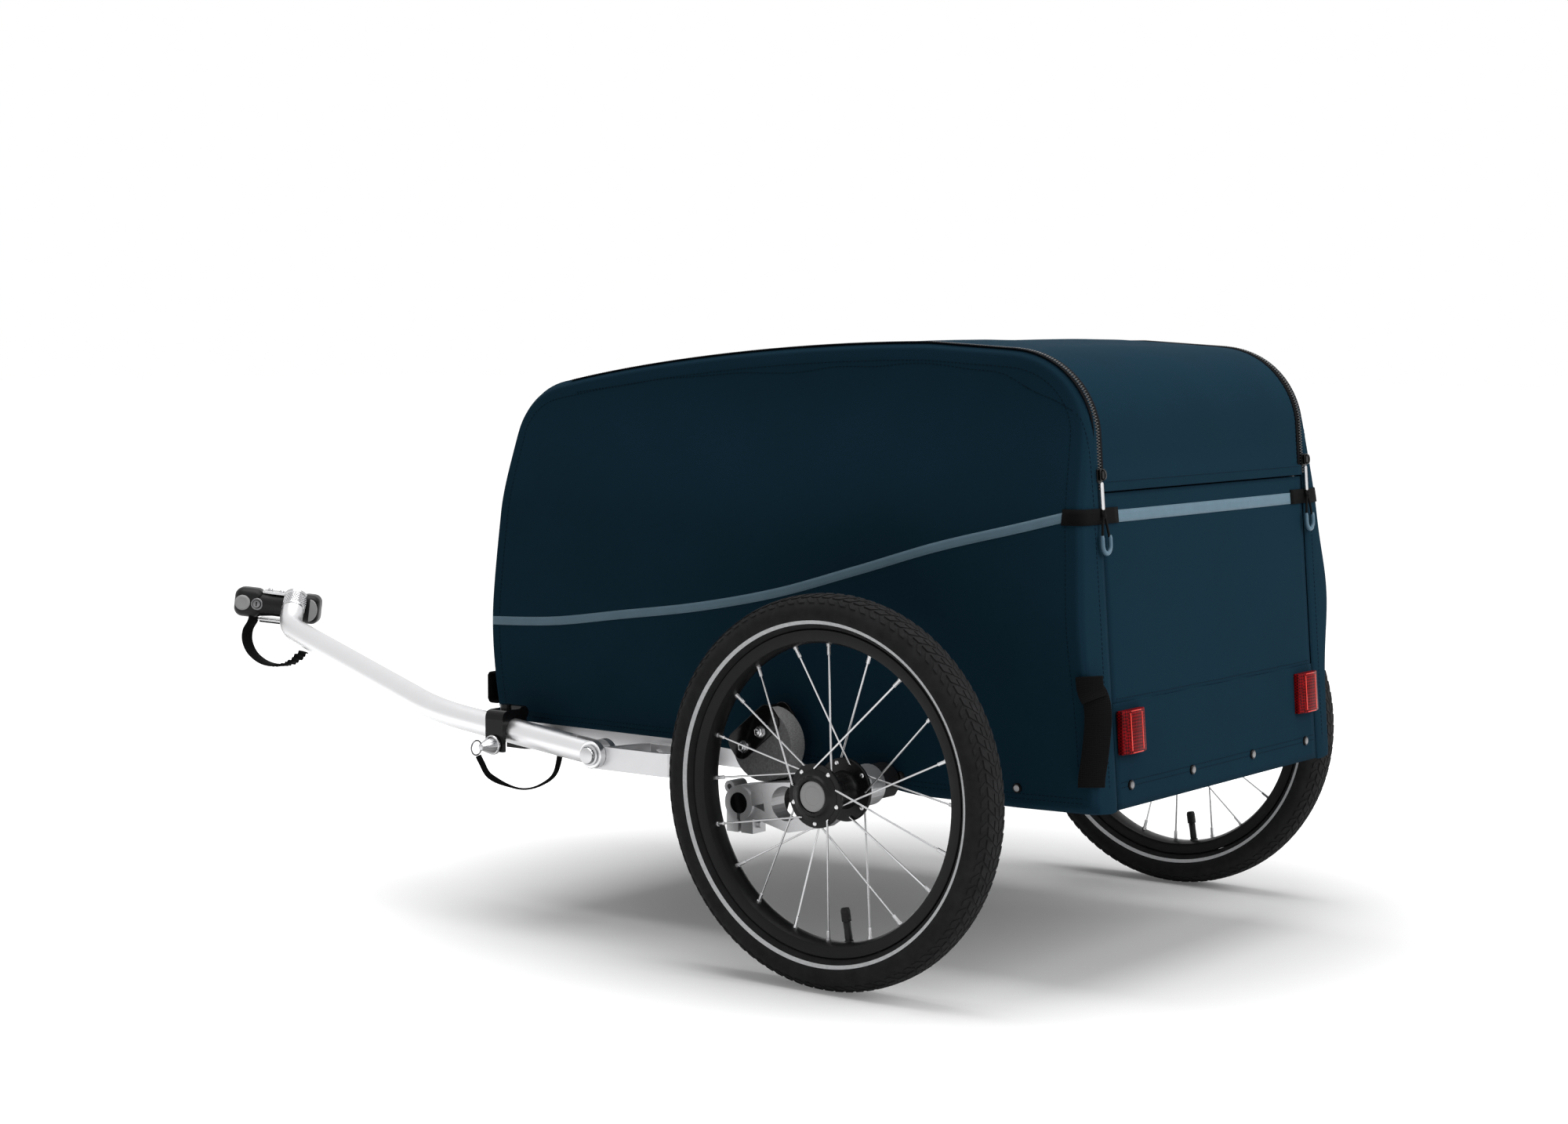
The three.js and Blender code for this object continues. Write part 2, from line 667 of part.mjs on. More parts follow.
function swingArm() {
  const web = plateXZ(polygon(webShares.map(onArm)), armInner, armOuter);
  const ring = rodY(arm.ringRadius, armInner - arm.ringExtra, armOuter + arm.ringExtra, pivot.x, pivot.z);
  const boss = turnedY([
    [0, bossInner], [arm.bossRadius - arm.bossTaper, bossInner], [arm.bossRadius, armInner],
    [arm.bossRadius, armOuter], [arm.bossRadius - arm.bossTaper, bossOuter], [0, bossOuter],
  ], hub.segments, 0, axleZ);
  const lugTop = pivot.z - arm.ringRadius / 2;
  const lugBottom = pivot.z - arm.lugDepth;
  const lug = box(
    pivot.x - arm.lugWidth / 2, pivot.x + arm.lugWidth / 2, armInner, armOuter, lugBottom, lugTop,
  );
  const boltZ = lugBottom + arm.clampHeadRadius + arm.ringExtra;
  const boltReach = arm.lugWidth / 2 + arm.clampBoltRadius;
  const clampBolt = rodX(arm.clampBoltRadius, pivot.x - boltReach, pivot.x + boltReach, armCentre, boltZ);
  const [earX, earZ] = onArm(earShare);
  const ear = rodY(arm.earRadius, armInner, armOuter, earX, earZ);
  const earHole = rodY(arm.earHoleRadius, armInner - overrun, armOuter + overrun, earX, earZ, 12);
  const [boreX, boreZ] = onArm(secondBoreShare);
  const cutInner = armInner - overrun;
  const cutOuter = armOuter + overrun;
  const pivotBore = rodY(
    pivot.tubeRadius + pivot.clearance, cutInner, cutOuter, pivot.x, pivot.z, hub.segments,
  );
  const axleBore = rodY(
    axle.radius + axle.runningClearance, bossInner - overrun, bossOuter + overrun, 0, axleZ, hub.segments,
  );
  const slot = box(
    pivot.x - arm.slotWidth / 2, pivot.x + arm.slotWidth / 2, cutInner, cutOuter,
    lugBottom - overrun, pivot.z,
  );
  const blank = cut(
    join(web, ring, boss, lug, ear),
    earHole,
    pivotBore,
    slot,
    rodY(arm.secondBoreRadius, cutInner, cutOuter, boreX, boreZ, 28),
    plateXZ(polygon(windowShares.map(onArm)), cutInner, cutOuter),
    axleBore,
  );
  return join(blank, clampBolt);
}

function axleEndCap() {
  const y1 = bossInner - clearance;
  const y0 = y1 - axleCap.length;
  const bore = axle.radius + axle.runningClearance;
  return cut(
    rodY(axleCap.radius, y0, y1, 0, axleZ, hub.segments),
    box(
      -axleCap.radius * 2, axleCap.radius * 2, y0 - overrun, y1 + overrun, 0, axleZ - axleCap.flatDrop,
    ),
    rodY(bore, y0 - overrun, y1 + overrun, 0, axleZ, hub.segments),
  );
}

const armFace = armOuter + arm.ringExtra;

// One tube carries both arms and hangs from the side rails on two plates.
function pivotTube() {
  const top = rail.bottom - clearance;
  const pieces = [rodY(pivot.tubeRadius, -armFace, armFace, pivot.x, pivot.z, hub.segments)];
  [1, -1].forEach((side) => {
    const hanger = new THREE.Shape();
    const half = arm.ringRadius;
    hanger.moveTo(pivot.x - half, top);
    hanger.lineTo(pivot.x + half, top);
    hanger.lineTo(pivot.x + pivot.tubeRadius, pivot.z);
    hanger.lineTo(pivot.x + half / 3, pivot.z - half);
    hanger.lineTo(pivot.x - half / 3, pivot.z - half);
    hanger.lineTo(pivot.x - pivot.tubeRadius, pivot.z);
    const reach = member.width / 5;
    const edges = [side * (hoopY - reach), side * (hoopY + reach)].sort((a, b) => a - b);
    pieces.push(plateXZ(hanger, ...edges));
  });
  return join(...pieces);
}

const puckBack = body.halfWidth + puck.sideGap;
const puckFront = puckBack + puck.thickness;
const chordTurn = THREE.MathUtils.degToRad(puck.chordAngle);
const chordDepth = puck.radius * puck.chordShare;

// A point beside the puck's centre: along its flat, and out from the centre towards the flat.
function onPuck(along, out) {
  const x = puck.x + out * Math.cos(chordTurn) - along * Math.sin(chordTurn);
  const z = puck.z + out * Math.sin(chordTurn) + along * Math.cos(chordTurn);
  return [x, z];
}

const puckBolts = [-1, 1].map((side) =>
  onPuck(puckPlate.boltCentre + (side * puckPlate.boltSpacing) / 2, puckPlate.boltDepth));

function elastomerPuck() {
  const far = puck.radius * 2;
  const beyond = plateXZ(
    polygon([onPuck(-far, chordDepth), onPuck(far, chordDepth), onPuck(far, far), onPuck(-far, far)]),
    puckBack - overrun, puckFront + overrun,
  );
  const holes = puckBolts.map(([x, z]) =>
    rodY(puckPlate.shankRadius + clearance, puckBack - overrun, puckFront + overrun, x, z, 12));
  return cut(rodY(puck.radius, puckBack, puckFront, puck.x, puck.z, 36), beyond, ...holes);
}

function puckCheek(y0, y1) {
  const top = chordDepth + clearance + puckPlate.thickness;
  const shape = roundedRectangle(puckPlate.left, puckPlate.right, 0, top, puckPlate.cornerRadius);
  const corners = shape.getPoints(3).map((p) => onPuck(p.x, p.y));
  return plateXZ(polygon(corners), y0, y1);
}

// A channel over the puck's flat, with two bolts through it and a foot under the hem to the rail.
function puckBracket() {
  const front = puckFront + clearance;
  const back = puckBack - clearance;
  const t = puckPlate.thickness;
  const webLeft = puckPlate.left + puckPlate.cornerRadius;
  const webRight = puckPlate.right - puckPlate.cornerRadius;
  const low = chordDepth + clearance;
  const web = plateXZ(polygon([
    onPuck(webLeft, low), onPuck(webRight, low), onPuck(webRight, low + t), onPuck(webLeft, low + t),
  ]), back - t, front + t);
  const footBottom = rail.bottom - t * 2;
  const half = puckPlate.footReach / 2;
  const footInner = hoopY + member.width / 5 + clearance;
  const pieces = [
    puckCheek(front, front + t),
    puckCheek(back - t, back),
    web,
    box(puck.x - half, puck.x + half, back - t * 2, back, footBottom, puck.z + half),
    box(puck.x - half, puck.x + half, footInner, back, footBottom, rail.bottom - clearance),
  ];
  const face = front + t;
  puckBolts.forEach(([x, z]) => {
    pieces.push(rodY(puckPlate.shankRadius, back - t, face, x, z, 12));
    pieces.push(rodY(puckPlate.boltRadius, face - clearance, face + puckPlate.boltHeight, x, z, 12));
  });
  return join(...pieces);
}

// Tow bar: bracket on the rail, rear bolt, yoke with locking pin, bent tube

const noseThickness = bracket.thickness * 2;
const noseInner = towY - noseThickness / 2;
const noseOuter = towY + noseThickness / 2;
const noseFront = towPivotX + tow.endRadius - bracket.noseSetback;

function towBracket() {
  const t = bracket.thickness;
  const legInner = railOuter + clearance;
  const r = bracket.cornerRadius;
  const x0 = towPivotX - bracket.rearReach;
  const legEnd = towPivotX - tow.endRadius * 2;
  const noseBack = towPivotX - tow.endRadius - clearance;
  const outer = new THREE.Shape();
  outer.moveTo(x0 + r, legInner);
  outer.lineTo(legEnd, legInner);
  outer.lineTo(noseBack, noseInner);
  outer.lineTo(noseFront, noseInner);
  outer.lineTo(noseFront, noseOuter);
  outer.lineTo(x0 + r, noseOuter);
  outer.quadraticCurveTo(x0, noseOuter, x0, noseOuter - r);
  outer.lineTo(x0, legInner + r);
  outer.quadraticCurveTo(x0, legInner, x0 + r, legInner);
  const hole = new THREE.Path();
  hole.moveTo(x0 + r, legInner + t);
  hole.quadraticCurveTo(x0 + t, legInner + t, x0 + t, legInner + r);
  hole.lineTo(x0 + t, noseOuter - r);
  hole.quadraticCurveTo(x0 + t, noseOuter - t, x0 + r, noseOuter - t);
  hole.lineTo(noseBack - t * 2, noseOuter - t);
  hole.lineTo(legEnd - t, legInner + t);
  outer.holes.push(hole);
  const half = bracket.height / 2;
  const middle = tow.pivotZ - bracket.drop;
  const loop = plateXY(outer, middle - half, middle + half, 6);
  const bore = rodY(pivotBolt.radius + pivotBolt.clearance, noseInner - overrun, noseOuter + overrun,
    towPivotX, tow.pivotZ);
  const fixings = [legEnd - r, x0 + r * 2].map((x) =>
    rodY(bracket.boltRadius, legInner + t - clearance, legInner + t + bracket.boltHeight, x, middle, 6));
  return join(cut(loop, bore), ...fixings);
}

// Corners of the tow tube's centre line: rear bolt, first bend, second bend and the hitch end.
const firstBend = new THREE.Vector3(bodyFront + tow.firstBendReach, towY, tow.firstBendZ);
const secondBend = new THREE.Vector3(bodyFront + tow.drawReach, tow.drawY, tow.drawZ);
const neckDirection = new THREE.Vector3(0.4, -0.62, 0.66).normalize();
const bendReaches = [46, 22];
const towStart = new THREE.Vector3(towPivotX, towY, tow.pivotZ);
const neckEnd = secondBend.clone().addScaledVector(neckDirection, tow.neckLength);

function towTube() {
  const path = bentPath([towStart, firstBend, secondBend, neckEnd], bendReaches);
  const tube = sweep(disc(tow.tubeRadius, tow.sides), path, tow.steps);
  const cheek = tow.tubeRadius;
  const end = rodY(tow.endRadius, towY - cheek, towY + cheek, towPivotX, tow.pivotZ, 28);
  const ring = rodY(tow.endRadius - pivotBolt.ringHeight, towY, towY + cheek + pivotBolt.ringHeight,
    towPivotX, tow.pivotZ, 28);
  const slotFront = towPivotX + tow.slotReach;
  const slot = box(
    towPivotX - tow.endRadius - overrun, slotFront, noseInner - clearance, noseOuter + clearance,
    tow.pivotZ - tow.endRadius * 2, tow.pivotZ + tow.endRadius * 2,
  );
  const bore = rodY(
    pivotBolt.radius + pivotBolt.clearance, towY - cheek - overrun, towY + cheek + overrun,
    towPivotX, tow.pivotZ,
  );
  return cut(join(tube, end, ring), slot, bore);
}

function rearBolt() {
  const cheek = tow.tubeRadius;
  const outerFace = towY + cheek + pivotBolt.ringHeight + clearance;
  const innerFace = towY - cheek - clearance;
  return join(
    rodY(pivotBolt.radius, innerFace - pivotBolt.headHeight, outerFace + pivotBolt.headHeight / 2,
      towPivotX, tow.pivotZ),
    rodY(pivotBolt.headRadius, outerFace, outerFace + pivotBolt.headHeight, towPivotX, tow.pivotZ),
    rodY(pivotBolt.headRadius, innerFace - pivotBolt.headHeight, innerFace, towPivotX, tow.pivotZ, 6),
  );
}

function towLineZ(x) {
  return tow.pivotZ + ((x - towPivotX) * (firstBend.z - tow.pivotZ)) / (firstBend.x - towPivotX);
}

const yokeZ = towLineZ(yokeX);
const pinTop = yokeZ - Math.sqrt(tow.tubeRadius ** 2 - pin.reach ** 2) - clearance;
const pinZ = pinTop - pin.radius;
const yokeBoreRadius = tow.tubeRadius + clearance * 2;
const yokeInner = towY - yokeBoreRadius - yoke.wall;
const yokeOuter = towY + yokeBoreRadius + yoke.wall;
const frontHemClear = onBody(outlineShares.frontHem).y - clearance;

// A saddle over the tube, open below, with an arm to the rail and a flat stay behind it.
function towYoke() {
  const x0 = yokeX - yoke.width / 2;
  const x1 = yokeX + yoke.width / 2;
  const top = yokeZ + yokeBoreRadius + yoke.topWall;
  const bottom = yokeZ - yoke.legDrop;
  const section = new THREE.Shape();
  const shoulder = yoke.wall * 2;
  section.moveTo(yokeInner, bottom);
  section.lineTo(yokeOuter, bottom);
  section.lineTo(yokeOuter, top - shoulder);
  section.quadraticCurveTo(yokeOuter, top, yokeOuter - shoulder, top);
  section.lineTo(yokeInner + shoulder, top);
  section.quadraticCurveTo(yokeInner, top, yokeInner, top - shoulder);
  const settings = { depth: yoke.width, bevelEnabled: false, curveSegments: 6 };
  const upright = new THREE.ExtrudeGeometry(section, settings);
  upright.applyMatrix4(new THREE.Matrix4().set(0, 0, 1, x0, 1, 0, 0, 0, 0, 1, 0, 0, 0, 0, 0, 1));
  const passage = new THREE.Vector3(x0 - overrun, towY, towLineZ(x0 - overrun));
  const beyond = new THREE.Vector3(x1 + overrun, towY, towLineZ(x1 + overrun));
  const throat = box(
    x0 - overrun, x1 + overrun, towY - yokeBoreRadius, towY + yokeBoreRadius, bottom - overrun, yokeZ,
  );
  const pinHole = rodY(pin.radius + pivotBolt.clearance, towY, yokeOuter + overrun, yokeX, pinZ);
  const armTop = Math.min(bottom + yoke.wall * 3, frontHemClear);
  const railArm = box(x0, x1, railOuter + clearance, yokeInner + yoke.wall / 2, bottom, armTop);
  const stay = new THREE.Shape();
  stay.moveTo(x1, railOuter + clearance);
  stay.lineTo(x1, yokeInner + yoke.wall);
  stay.lineTo(x0, yokeInner + yoke.wall);
  stay.lineTo(x0 - yoke.width * 2, railOuter + clearance);
  const knob = rodZ(yoke.knobRadius, top - yoke.wall, top + yoke.knobHeight, yokeX, towY, 14);
  const boss = rodX(yoke.bossRadius, x0, x1 - yoke.wall, yokeInner + yoke.wall, top - yoke.wall, 14);
  return cut(
    join(upright, railArm, plateXY(stay, bottom, bottom + yoke.wall), knob, boss),
    rodBetween(passage, beyond, yokeBoreRadius, 24),
    throat,
    pinHole,
  );
}

function lockingPin() {
  const face = yokeOuter + clearance;
  const discEnd = face + pin.discHeight;
  const tip = discEnd + pin.coneHeight;
  const shaftEnd = towY + pin.reach;
  const turned = turnedY([
    [0, shaftEnd], [pin.radius / 2, shaftEnd], [pin.radius, shaftEnd + pin.radius], [pin.radius, face],
    [pin.discRadius, face], [pin.discRadius, discEnd], [pin.coneRadius, discEnd + pin.coneHeight / 4],
    [pin.tipRadius, tip], [0, tip],
  ], axle.segments, yokeX, pinZ);
  const ring = new THREE.TorusGeometry(pin.ringRadius, pin.ringWire, 5, 16);
  ring.rotateY(quarterTurn).translate(yokeX, tip - pin.ringWire + pin.ringRadius, pinZ);
  return join(turned, ring);
}

// Webbing lanyard from the split ring down under the tube and back up to the frame stay.
const lanyardRoute = [
  [480, 349, 186.6], [473, 345, 178], [471, 336, 168], [465, 315, 155], [454, 300, 150], [443, 285, 154],
  [434, 272, 166], [438, 260, 188],
];

function flatCord(route, width, thickness, steps) {
  const curve = new THREE.CatmullRomCurve3(route.map((p) => new THREE.Vector3(...p)), false, "centripetal");
  const section = roundedRectangle(-thickness / 2, thickness / 2, -width / 2, width / 2, thickness * 0.3);
  return sweep(section, curve, steps);
}

// Hitch: knurled collar, housing with two release buttons and a lock, safety strap

function onNeck(geometry) {
  const turn = new THREE.Quaternion().setFromUnitVectors(new THREE.Vector3(0, 1, 0), neckDirection);
  return geometry.applyQuaternion(turn).translate(...neckEnd.toArray());
}

function knurledCollar() {
  const profile = [[0, clearance], [collar.radius, clearance]];
  const pitch = collar.length / (collar.grooves + 1);
  for (let i = 1; i <= collar.grooves; i++) {
    const y = clearance + pitch * i;
    profile.push([collar.radius, y - pitch / 6]);
    profile.push([collar.radius - collar.grooveDepth, y]);
    profile.push([collar.radius, y + pitch / 6]);
  }
  profile.push([collar.radius, collar.length]);
  profile.push([0, collar.length]);
  return onNeck(turnedY(profile, collar.segments));
}

// The head's own axes: its length along X, its depth along Y and up along Z, turned about the collar's top.
const headOrigin = neckEnd.clone().addScaledVector(neckDirection, collar.length / 2);

function headFrame() {
  const frame = new THREE.Group();
  frame.position.copy(headOrigin);
  frame.rotation.set(0, -THREE.MathUtils.degToRad(head.tilt), THREE.MathUtils.degToRad(head.yaw), "ZYX");
  return frame;
}

const headFront = head.length - head.rearReach;
const headY0 = -head.depth - collar.radius / 3;
const headY1 = headY0 + head.depth;
const headTop = head.height / 2 - head.sink;
const headBottom = headTop - head.height;
const headMid = (headTop + headBottom) / 2;
const headButtonX = headFront - head.lobeRound + headButton.forward;
const lockX = headButtonX - headButton.radius - lockCore.radius - lockCore.gap;

function headLobe(x0, x1, round) {
  return plateXZ(roundedRectangle(x0, x1, headBottom, headTop, round), headY0, headY1, 5);
}

function hitchHead(frame) {
  const lobe = headLobe(headFront - head.lobeLength, headFront, head.lobeRound);
  const rearLobe = headLobe(-head.rearReach, -head.rearReach + head.rearLobeLength, head.rearLobeRound);
  const neckY = (headY0 + headY1) / 2;
  const neck = rodX(head.neckRadius, -head.rearReach + overrun, headFront - overrun, neckY, headMid, 20);
  const top = box(
    -head.rearReach / 2, headFront - head.lobeLength + overrun,
    neckY - head.plateWidth / 2, neckY + head.plateWidth / 2,
    headMid + head.neckRadius - head.plateThickness, headTop - head.plateThickness / 3,
  );
  const seatFloor = headY1 - headButton.travel - clearance * 2;
  const beyond = headY1 + overrun;
  const buttonSeat = rodY(headButton.radius + clearance, seatFloor, beyond, headButtonX, headMid);
  const sideSeat = plateXZ(halfOval(clearance), seatFloor, beyond, 12);
  const lockSeat = rodY(lockCore.radius + clearance, headY1 - lockCore.height, beyond, lockX, headMid);
  const shape = cut(join(lobe, rearLobe, neck, top), buttonSeat, sideSeat, lockSeat);
  const inverse = frame.matrixWorld.clone().invert();
  const sleeve = onNeck(new THREE.CylinderGeometry(
    collar.radius + clearance, collar.radius + clearance, collar.length * 2, collar.segments,
  )).applyMatrix4(inverse);
  return cut(shape, sleeve);
}

function frontButton() {
  return rodY(headButton.radius, headY1 - clearance, headY1 + headButton.height, headButtonX, headMid);
}

const sideButtonX = -head.rearReach + headButton.sideInset + headButton.sideWidth;

function halfOval(grow) {
  const shape = new THREE.Shape();
  const tall = headButton.sideHeight / 2 + grow;
  const wide = headButton.sideWidth + grow * 2;
  shape.moveTo(sideButtonX + grow, headMid + tall);
  shape.absellipse(sideButtonX + grow, headMid, wide, tall, quarterTurn, 3 * quarterTurn);
  return shape;
}

function rearButton() {
  return plateXZ(halfOval(0), headY1 - clearance, headY1 + headButton.height, 12);
}

function lockCylinder() {
  const back = headY1 - lockCore.height + clearance;
  const face = headY1 + clearance;
  const slot = box(
    lockX - lockCore.slotWidth / 2, lockX + lockCore.slotWidth / 2,
    face - lockCore.slotDepth, face + overrun,
    headMid - lockCore.slotLength / 2, headMid + lockCore.slotLength / 2,
  );
  return cut(rodY(lockCore.radius, back, face, lockX, headMid, 20), slot);
}

// Elastic strap that hangs in a loop under the head and back to the tube, with gathers near its end.
const strapRoute = [
  [1036, 168, 289], [1045, 170, 277], [1041, 174, 263], [1026, 178, 249], [1000, 182, 240], [972, 184, 238],
  [950, 184, 243], [934, 181, 254],
];

// Zips, their sliders and pullers, corner bands, reflectors and straps

function zipChain() {
  const outline = overBody();
  const run = cutAtHeight(outline.slice(0, roofJoinIndex(outline) + 1), zip.lowerEnd);
  const lower = insetOpen(run, -clearance);
  const upper = insetOpen(run, -clearance - zip.height);
  const y0 = lidHalfWidth + clearance;
  return plateXZ(new THREE.Shape([...upper, ...lower.reverse()]), y0, y0 + zip.width);
}

const zipFaceOffset = clearance * 2 + zip.height;
const sliderY = lidHalfWidth + clearance + zip.width / 2;

// A frame on the sloping rear face: its Z runs up the face and its -X points away from it.
function onRearFace(y, z) {
  const frame = new THREE.Group();
  frame.position.set(rearFaceX(z), y, z);
  frame.rotation.y = rearSlope;
  return frame;
}

function sliderBody() {
  const half = slider.height / 2;
  const shape = roundedRectangle(-slider.width / 2, slider.width / 2, -half, half, slider.width / 3);
  const settings = { depth: slider.depth, bevelEnabled: false, curveSegments: 4 };
  const plate = new THREE.ExtrudeGeometry(shape, settings);
  plate.rotateX(quarterTurn).rotateZ(quarterTurn);
  plate.translate(-zipFaceOffset - slider.depth, 0, 0);
  return plate;
}

const pullerX = -zipFaceOffset - slider.depth / 2;
const pullerTop = -slider.height / 2 - puller.tabGap;

// Metal tab, cord loop and the U-shaped grip, hanging in the plane of the rear face.
function pullTab() {
  const half = puller.tabThickness / 2;
  return box(
    pullerX - half, pullerX + half, -puller.tabWidth / 2, puller.tabWidth / 2,
    pullerTop - puller.tabLength, pullerTop,
  );
}

function pullLoop() {
  const top = pullerTop - puller.tabLength + puller.cordRadius;
  const half = puller.loopWidth / 2;
  const bottom = top - puller.loopLength;
  const points = [
    [0, top], [-half * 0.4, top - half], [-half, bottom + half], [-half * 0.7, bottom + half * 0.3],
    [0, bottom], [half * 0.7, bottom + half * 0.3], [half, bottom + half], [half * 0.4, top - half],
  ];
  const route = points.map(([y, z]) => new THREE.Vector3(pullerX, y, z));
  const loop = new THREE.CatmullRomCurve3(route, true, "centripetal");
  const closed = [];
  const sides = 6;
  const steps = 24;
  const frames = loop.computeFrenetFrames(steps, true);
  const vertices = [];
  for (let i = 0; i < steps; i++) {
    const centre = loop.getPointAt(i / steps);
    const low = centre.z < bottom + half * 1.1;
    const radius = puller.cordRadius * (low ? 2 : 1);
    for (let j = 0; j < sides; j++) {
      const angle = (fullTurn * j) / sides;
      const offset = frames.normals[i].clone().multiplyScalar(Math.cos(angle) * radius);
      offset.addScaledVector(frames.binormals[i], Math.sin(angle) * radius);
      vertices.push(centre.clone().add(offset));
    }
  }
  for (let i = 0; i < steps; i++) {
    for (let j = 0; j < sides; j++) {
      const a = i * sides + j;
      const b = i * sides + ((j + 1) % sides);
      const c = ((i + 1) % steps) * sides + j;
      const d = ((i + 1) % steps) * sides + ((j + 1) % sides);
      closed.push(a, b, d, a, d, c);
    }
  }
  const geometry = new THREE.BufferGeometry().setFromPoints(vertices);
  geometry.setIndex(closed);
  return geometry;
}

function cornerBand() {
  const face = rearFaceX(band.z) - band.standOff;
  const side = body.halfWidth + clearance;
  const t = band.thickness;
  const strip = polygon([
    [face, lidHalfWidth - band.reach], [face, side], [face + band.sideReach, side],
    [face + band.sideReach, side + t], [face - t, side + t], [face - t, lidHalfWidth - band.reach],
  ]);
  return plateXY(strip, band.z - band.height / 2, band.z + band.height / 2);
}

function rearReflector() {
  const half = reflector.width / 2;
  const shape = new THREE.Shape();
  shape.moveTo(-clearance, -half);
  shape.lineTo(-clearance, half);
  shape.lineTo(-reflector.depth + reflector.bulge, half);
  shape.quadraticCurveTo(-reflector.depth - reflector.bulge, 0, -reflector.depth + reflector.bulge, -half);
  return plateXY(shape, -reflector.height / 2, reflector.height / 2, 8);
}

// The strap lies across the rounded corner, which is this much inside the sharp one.
const cornerCut = body.edgeRadius * (Math.SQRT2 - 1);

function rearWebbing() {
  const back = clearance - cornerCut;
  return box(-webbing.width / 2, webbing.width / 2, back, back + webbing.thickness, -webbing.length, 0);
}

function frontWebbing() {
  const z = frontLoop.z;
  const faceX = frontFaceX(z + frontLoop.height / 2) + clearance;
  const y1 = body.halfWidth - clearance;
  const half = frontLoop.height / 2;
  const outer = roundedRectangle(faceX, faceX + frontLoop.reach, z - half, z + half, frontLoop.reach / 3);
  return plateXZ(outer, y1 - frontLoop.width, y1, 4);
}

// Assembly

function addSide(parent, side) {
  node(parent, `cover_${side}`, coverSide(), navyFabric);
  node(parent, `hoop_${side}`, sideHoop(), silver);

  const turning = new THREE.Group();
  turning.position.z = axleZ;
  parent.add(turning);
  node(turning, `tyre_${side}`, tyreSolid(), tyreRubber);
  node(turning, `rim_${side}`, lacedRim(), blackPaint);
  node(turning, `valve_${side}`, valveStem(), blackPlastic);
  node(turning, `hub_${side}`, hubShell(), blackPaint);
  node(turning, `axle_${side}`, stubAxle(), spokeSteel);
  node(turning, `release_button_${side}`, releaseButton(), greyPlastic);

  node(parent, `swing_arm_${side}`, swingArm(), castSilver);
  node(parent, `axle_cap_${side}`, axleEndCap(), blackPlastic);
  node(parent, `puck_${side}`, elastomerPuck(), elastomer);
  node(parent, `puck_bracket_${side}`, puckBracket(), blackPaint);

  node(parent, `zip_${side}`, zipChain(), blackPlastic);
  const slide = onRearFace(sliderY, slider.z);
  parent.add(slide);
  node(slide, `zip_slider_${side}`, sliderBody(), blackPaint);
  node(slide, `zip_puller_${side}`, join(pullTab(), pullLoop()), cordGrey);
  node(parent, `corner_band_${side}`, cornerBand(), strapWeb);
  const lens = onRearFace(lidHalfWidth - reflector.edgeGap, reflector.centreZ);
  parent.add(lens);
  node(lens, `reflector_${side}`, rearReflector(), redLens);
}

const trailer = new THREE.Group();
const left = new THREE.Group();
const right = new THREE.Group();
right.scale.y = -1;
trailer.add(left, right);
addSide(left, "left");
addSide(right, "right");

node(trailer, "base_frame", baseFrame(), silver);
node(trailer, "floor_board", floorBoard(), floorBlack);
node(trailer, "crossbar_front", upperCrossbar(outlineShares.frontCornerControl), silver);
node(trailer, "crossbar_rear", upperCrossbar(outlineShares.rearCornerShares[1]), silver);
node(trailer, "cover_front", coverFront(), navyFabric);
node(trailer, "cover_rear", coverRear(), navyFabric);
node(trailer, "lid", lidPanel(), navyFabric);
node(trailer, "pivot_tube", pivotTube(), blackPaint);

node(trailer, "tow_bracket", towBracket(), silver);
node(trailer, "tow_bolt", rearBolt(), spokeSteel);
node(trailer, "tow_yoke", towYoke(), blackPaint);
node(trailer, "lock_pin", lockingPin(), silver);
node(trailer, "lanyard", flatCord(lanyardRoute, lanyard.width, lanyard.thickness, 20), strapWeb);
node(trailer, "tow_tube", towTube(), silver);
node(trailer, "hitch_collar", knurledCollar(), silver);

const hitch = headFrame();
trailer.add(hitch);
trailer.updateMatrixWorld(true);
node(hitch, "hitch_head", hitchHead(hitch), blackPlastic);
node(hitch, "hitch_button_front", frontButton(), greyPlastic);
node(hitch, "hitch_button_rear", rearButton(), greyPlastic);
node(hitch, "hitch_lock", lockCylinder(), blackPaint);
node(trailer, "safety_strap", flatCord(strapRoute, strap.width, strap.thickness, 22), strapWeb);

const strapFrame = new THREE.Group();
strapFrame.position.set(rearFaceX(webbing.topZ), body.halfWidth, webbing.topZ);
strapFrame.rotation.set(0, rearSlope, quarterTurn / 2, "YZX");
trailer.add(strapFrame);
node(strapFrame, "rear_strap", rearWebbing(), strapWeb);
node(trailer, "front_strap", frontWebbing(), strapWeb);

// The origin is on the ground, below the middle of the whole trailer.
trailer.updateMatrixWorld(true);
const bounds = new THREE.Box3().setFromObject(trailer, true);
const root = new THREE.Group();
trailer.position.set(-(bounds.min.x + bounds.max.x) / 2, -(bounds.min.y + bounds.max.y) / 2, -bounds.min.z);
root.add(trailer);

export default root;
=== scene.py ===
import math

import bmesh
import bpy
from mathutils import Matrix, Vector, noise
from mathutils.bvhtree import BVHTree
from mathutils.geometry import interpolate_bezier


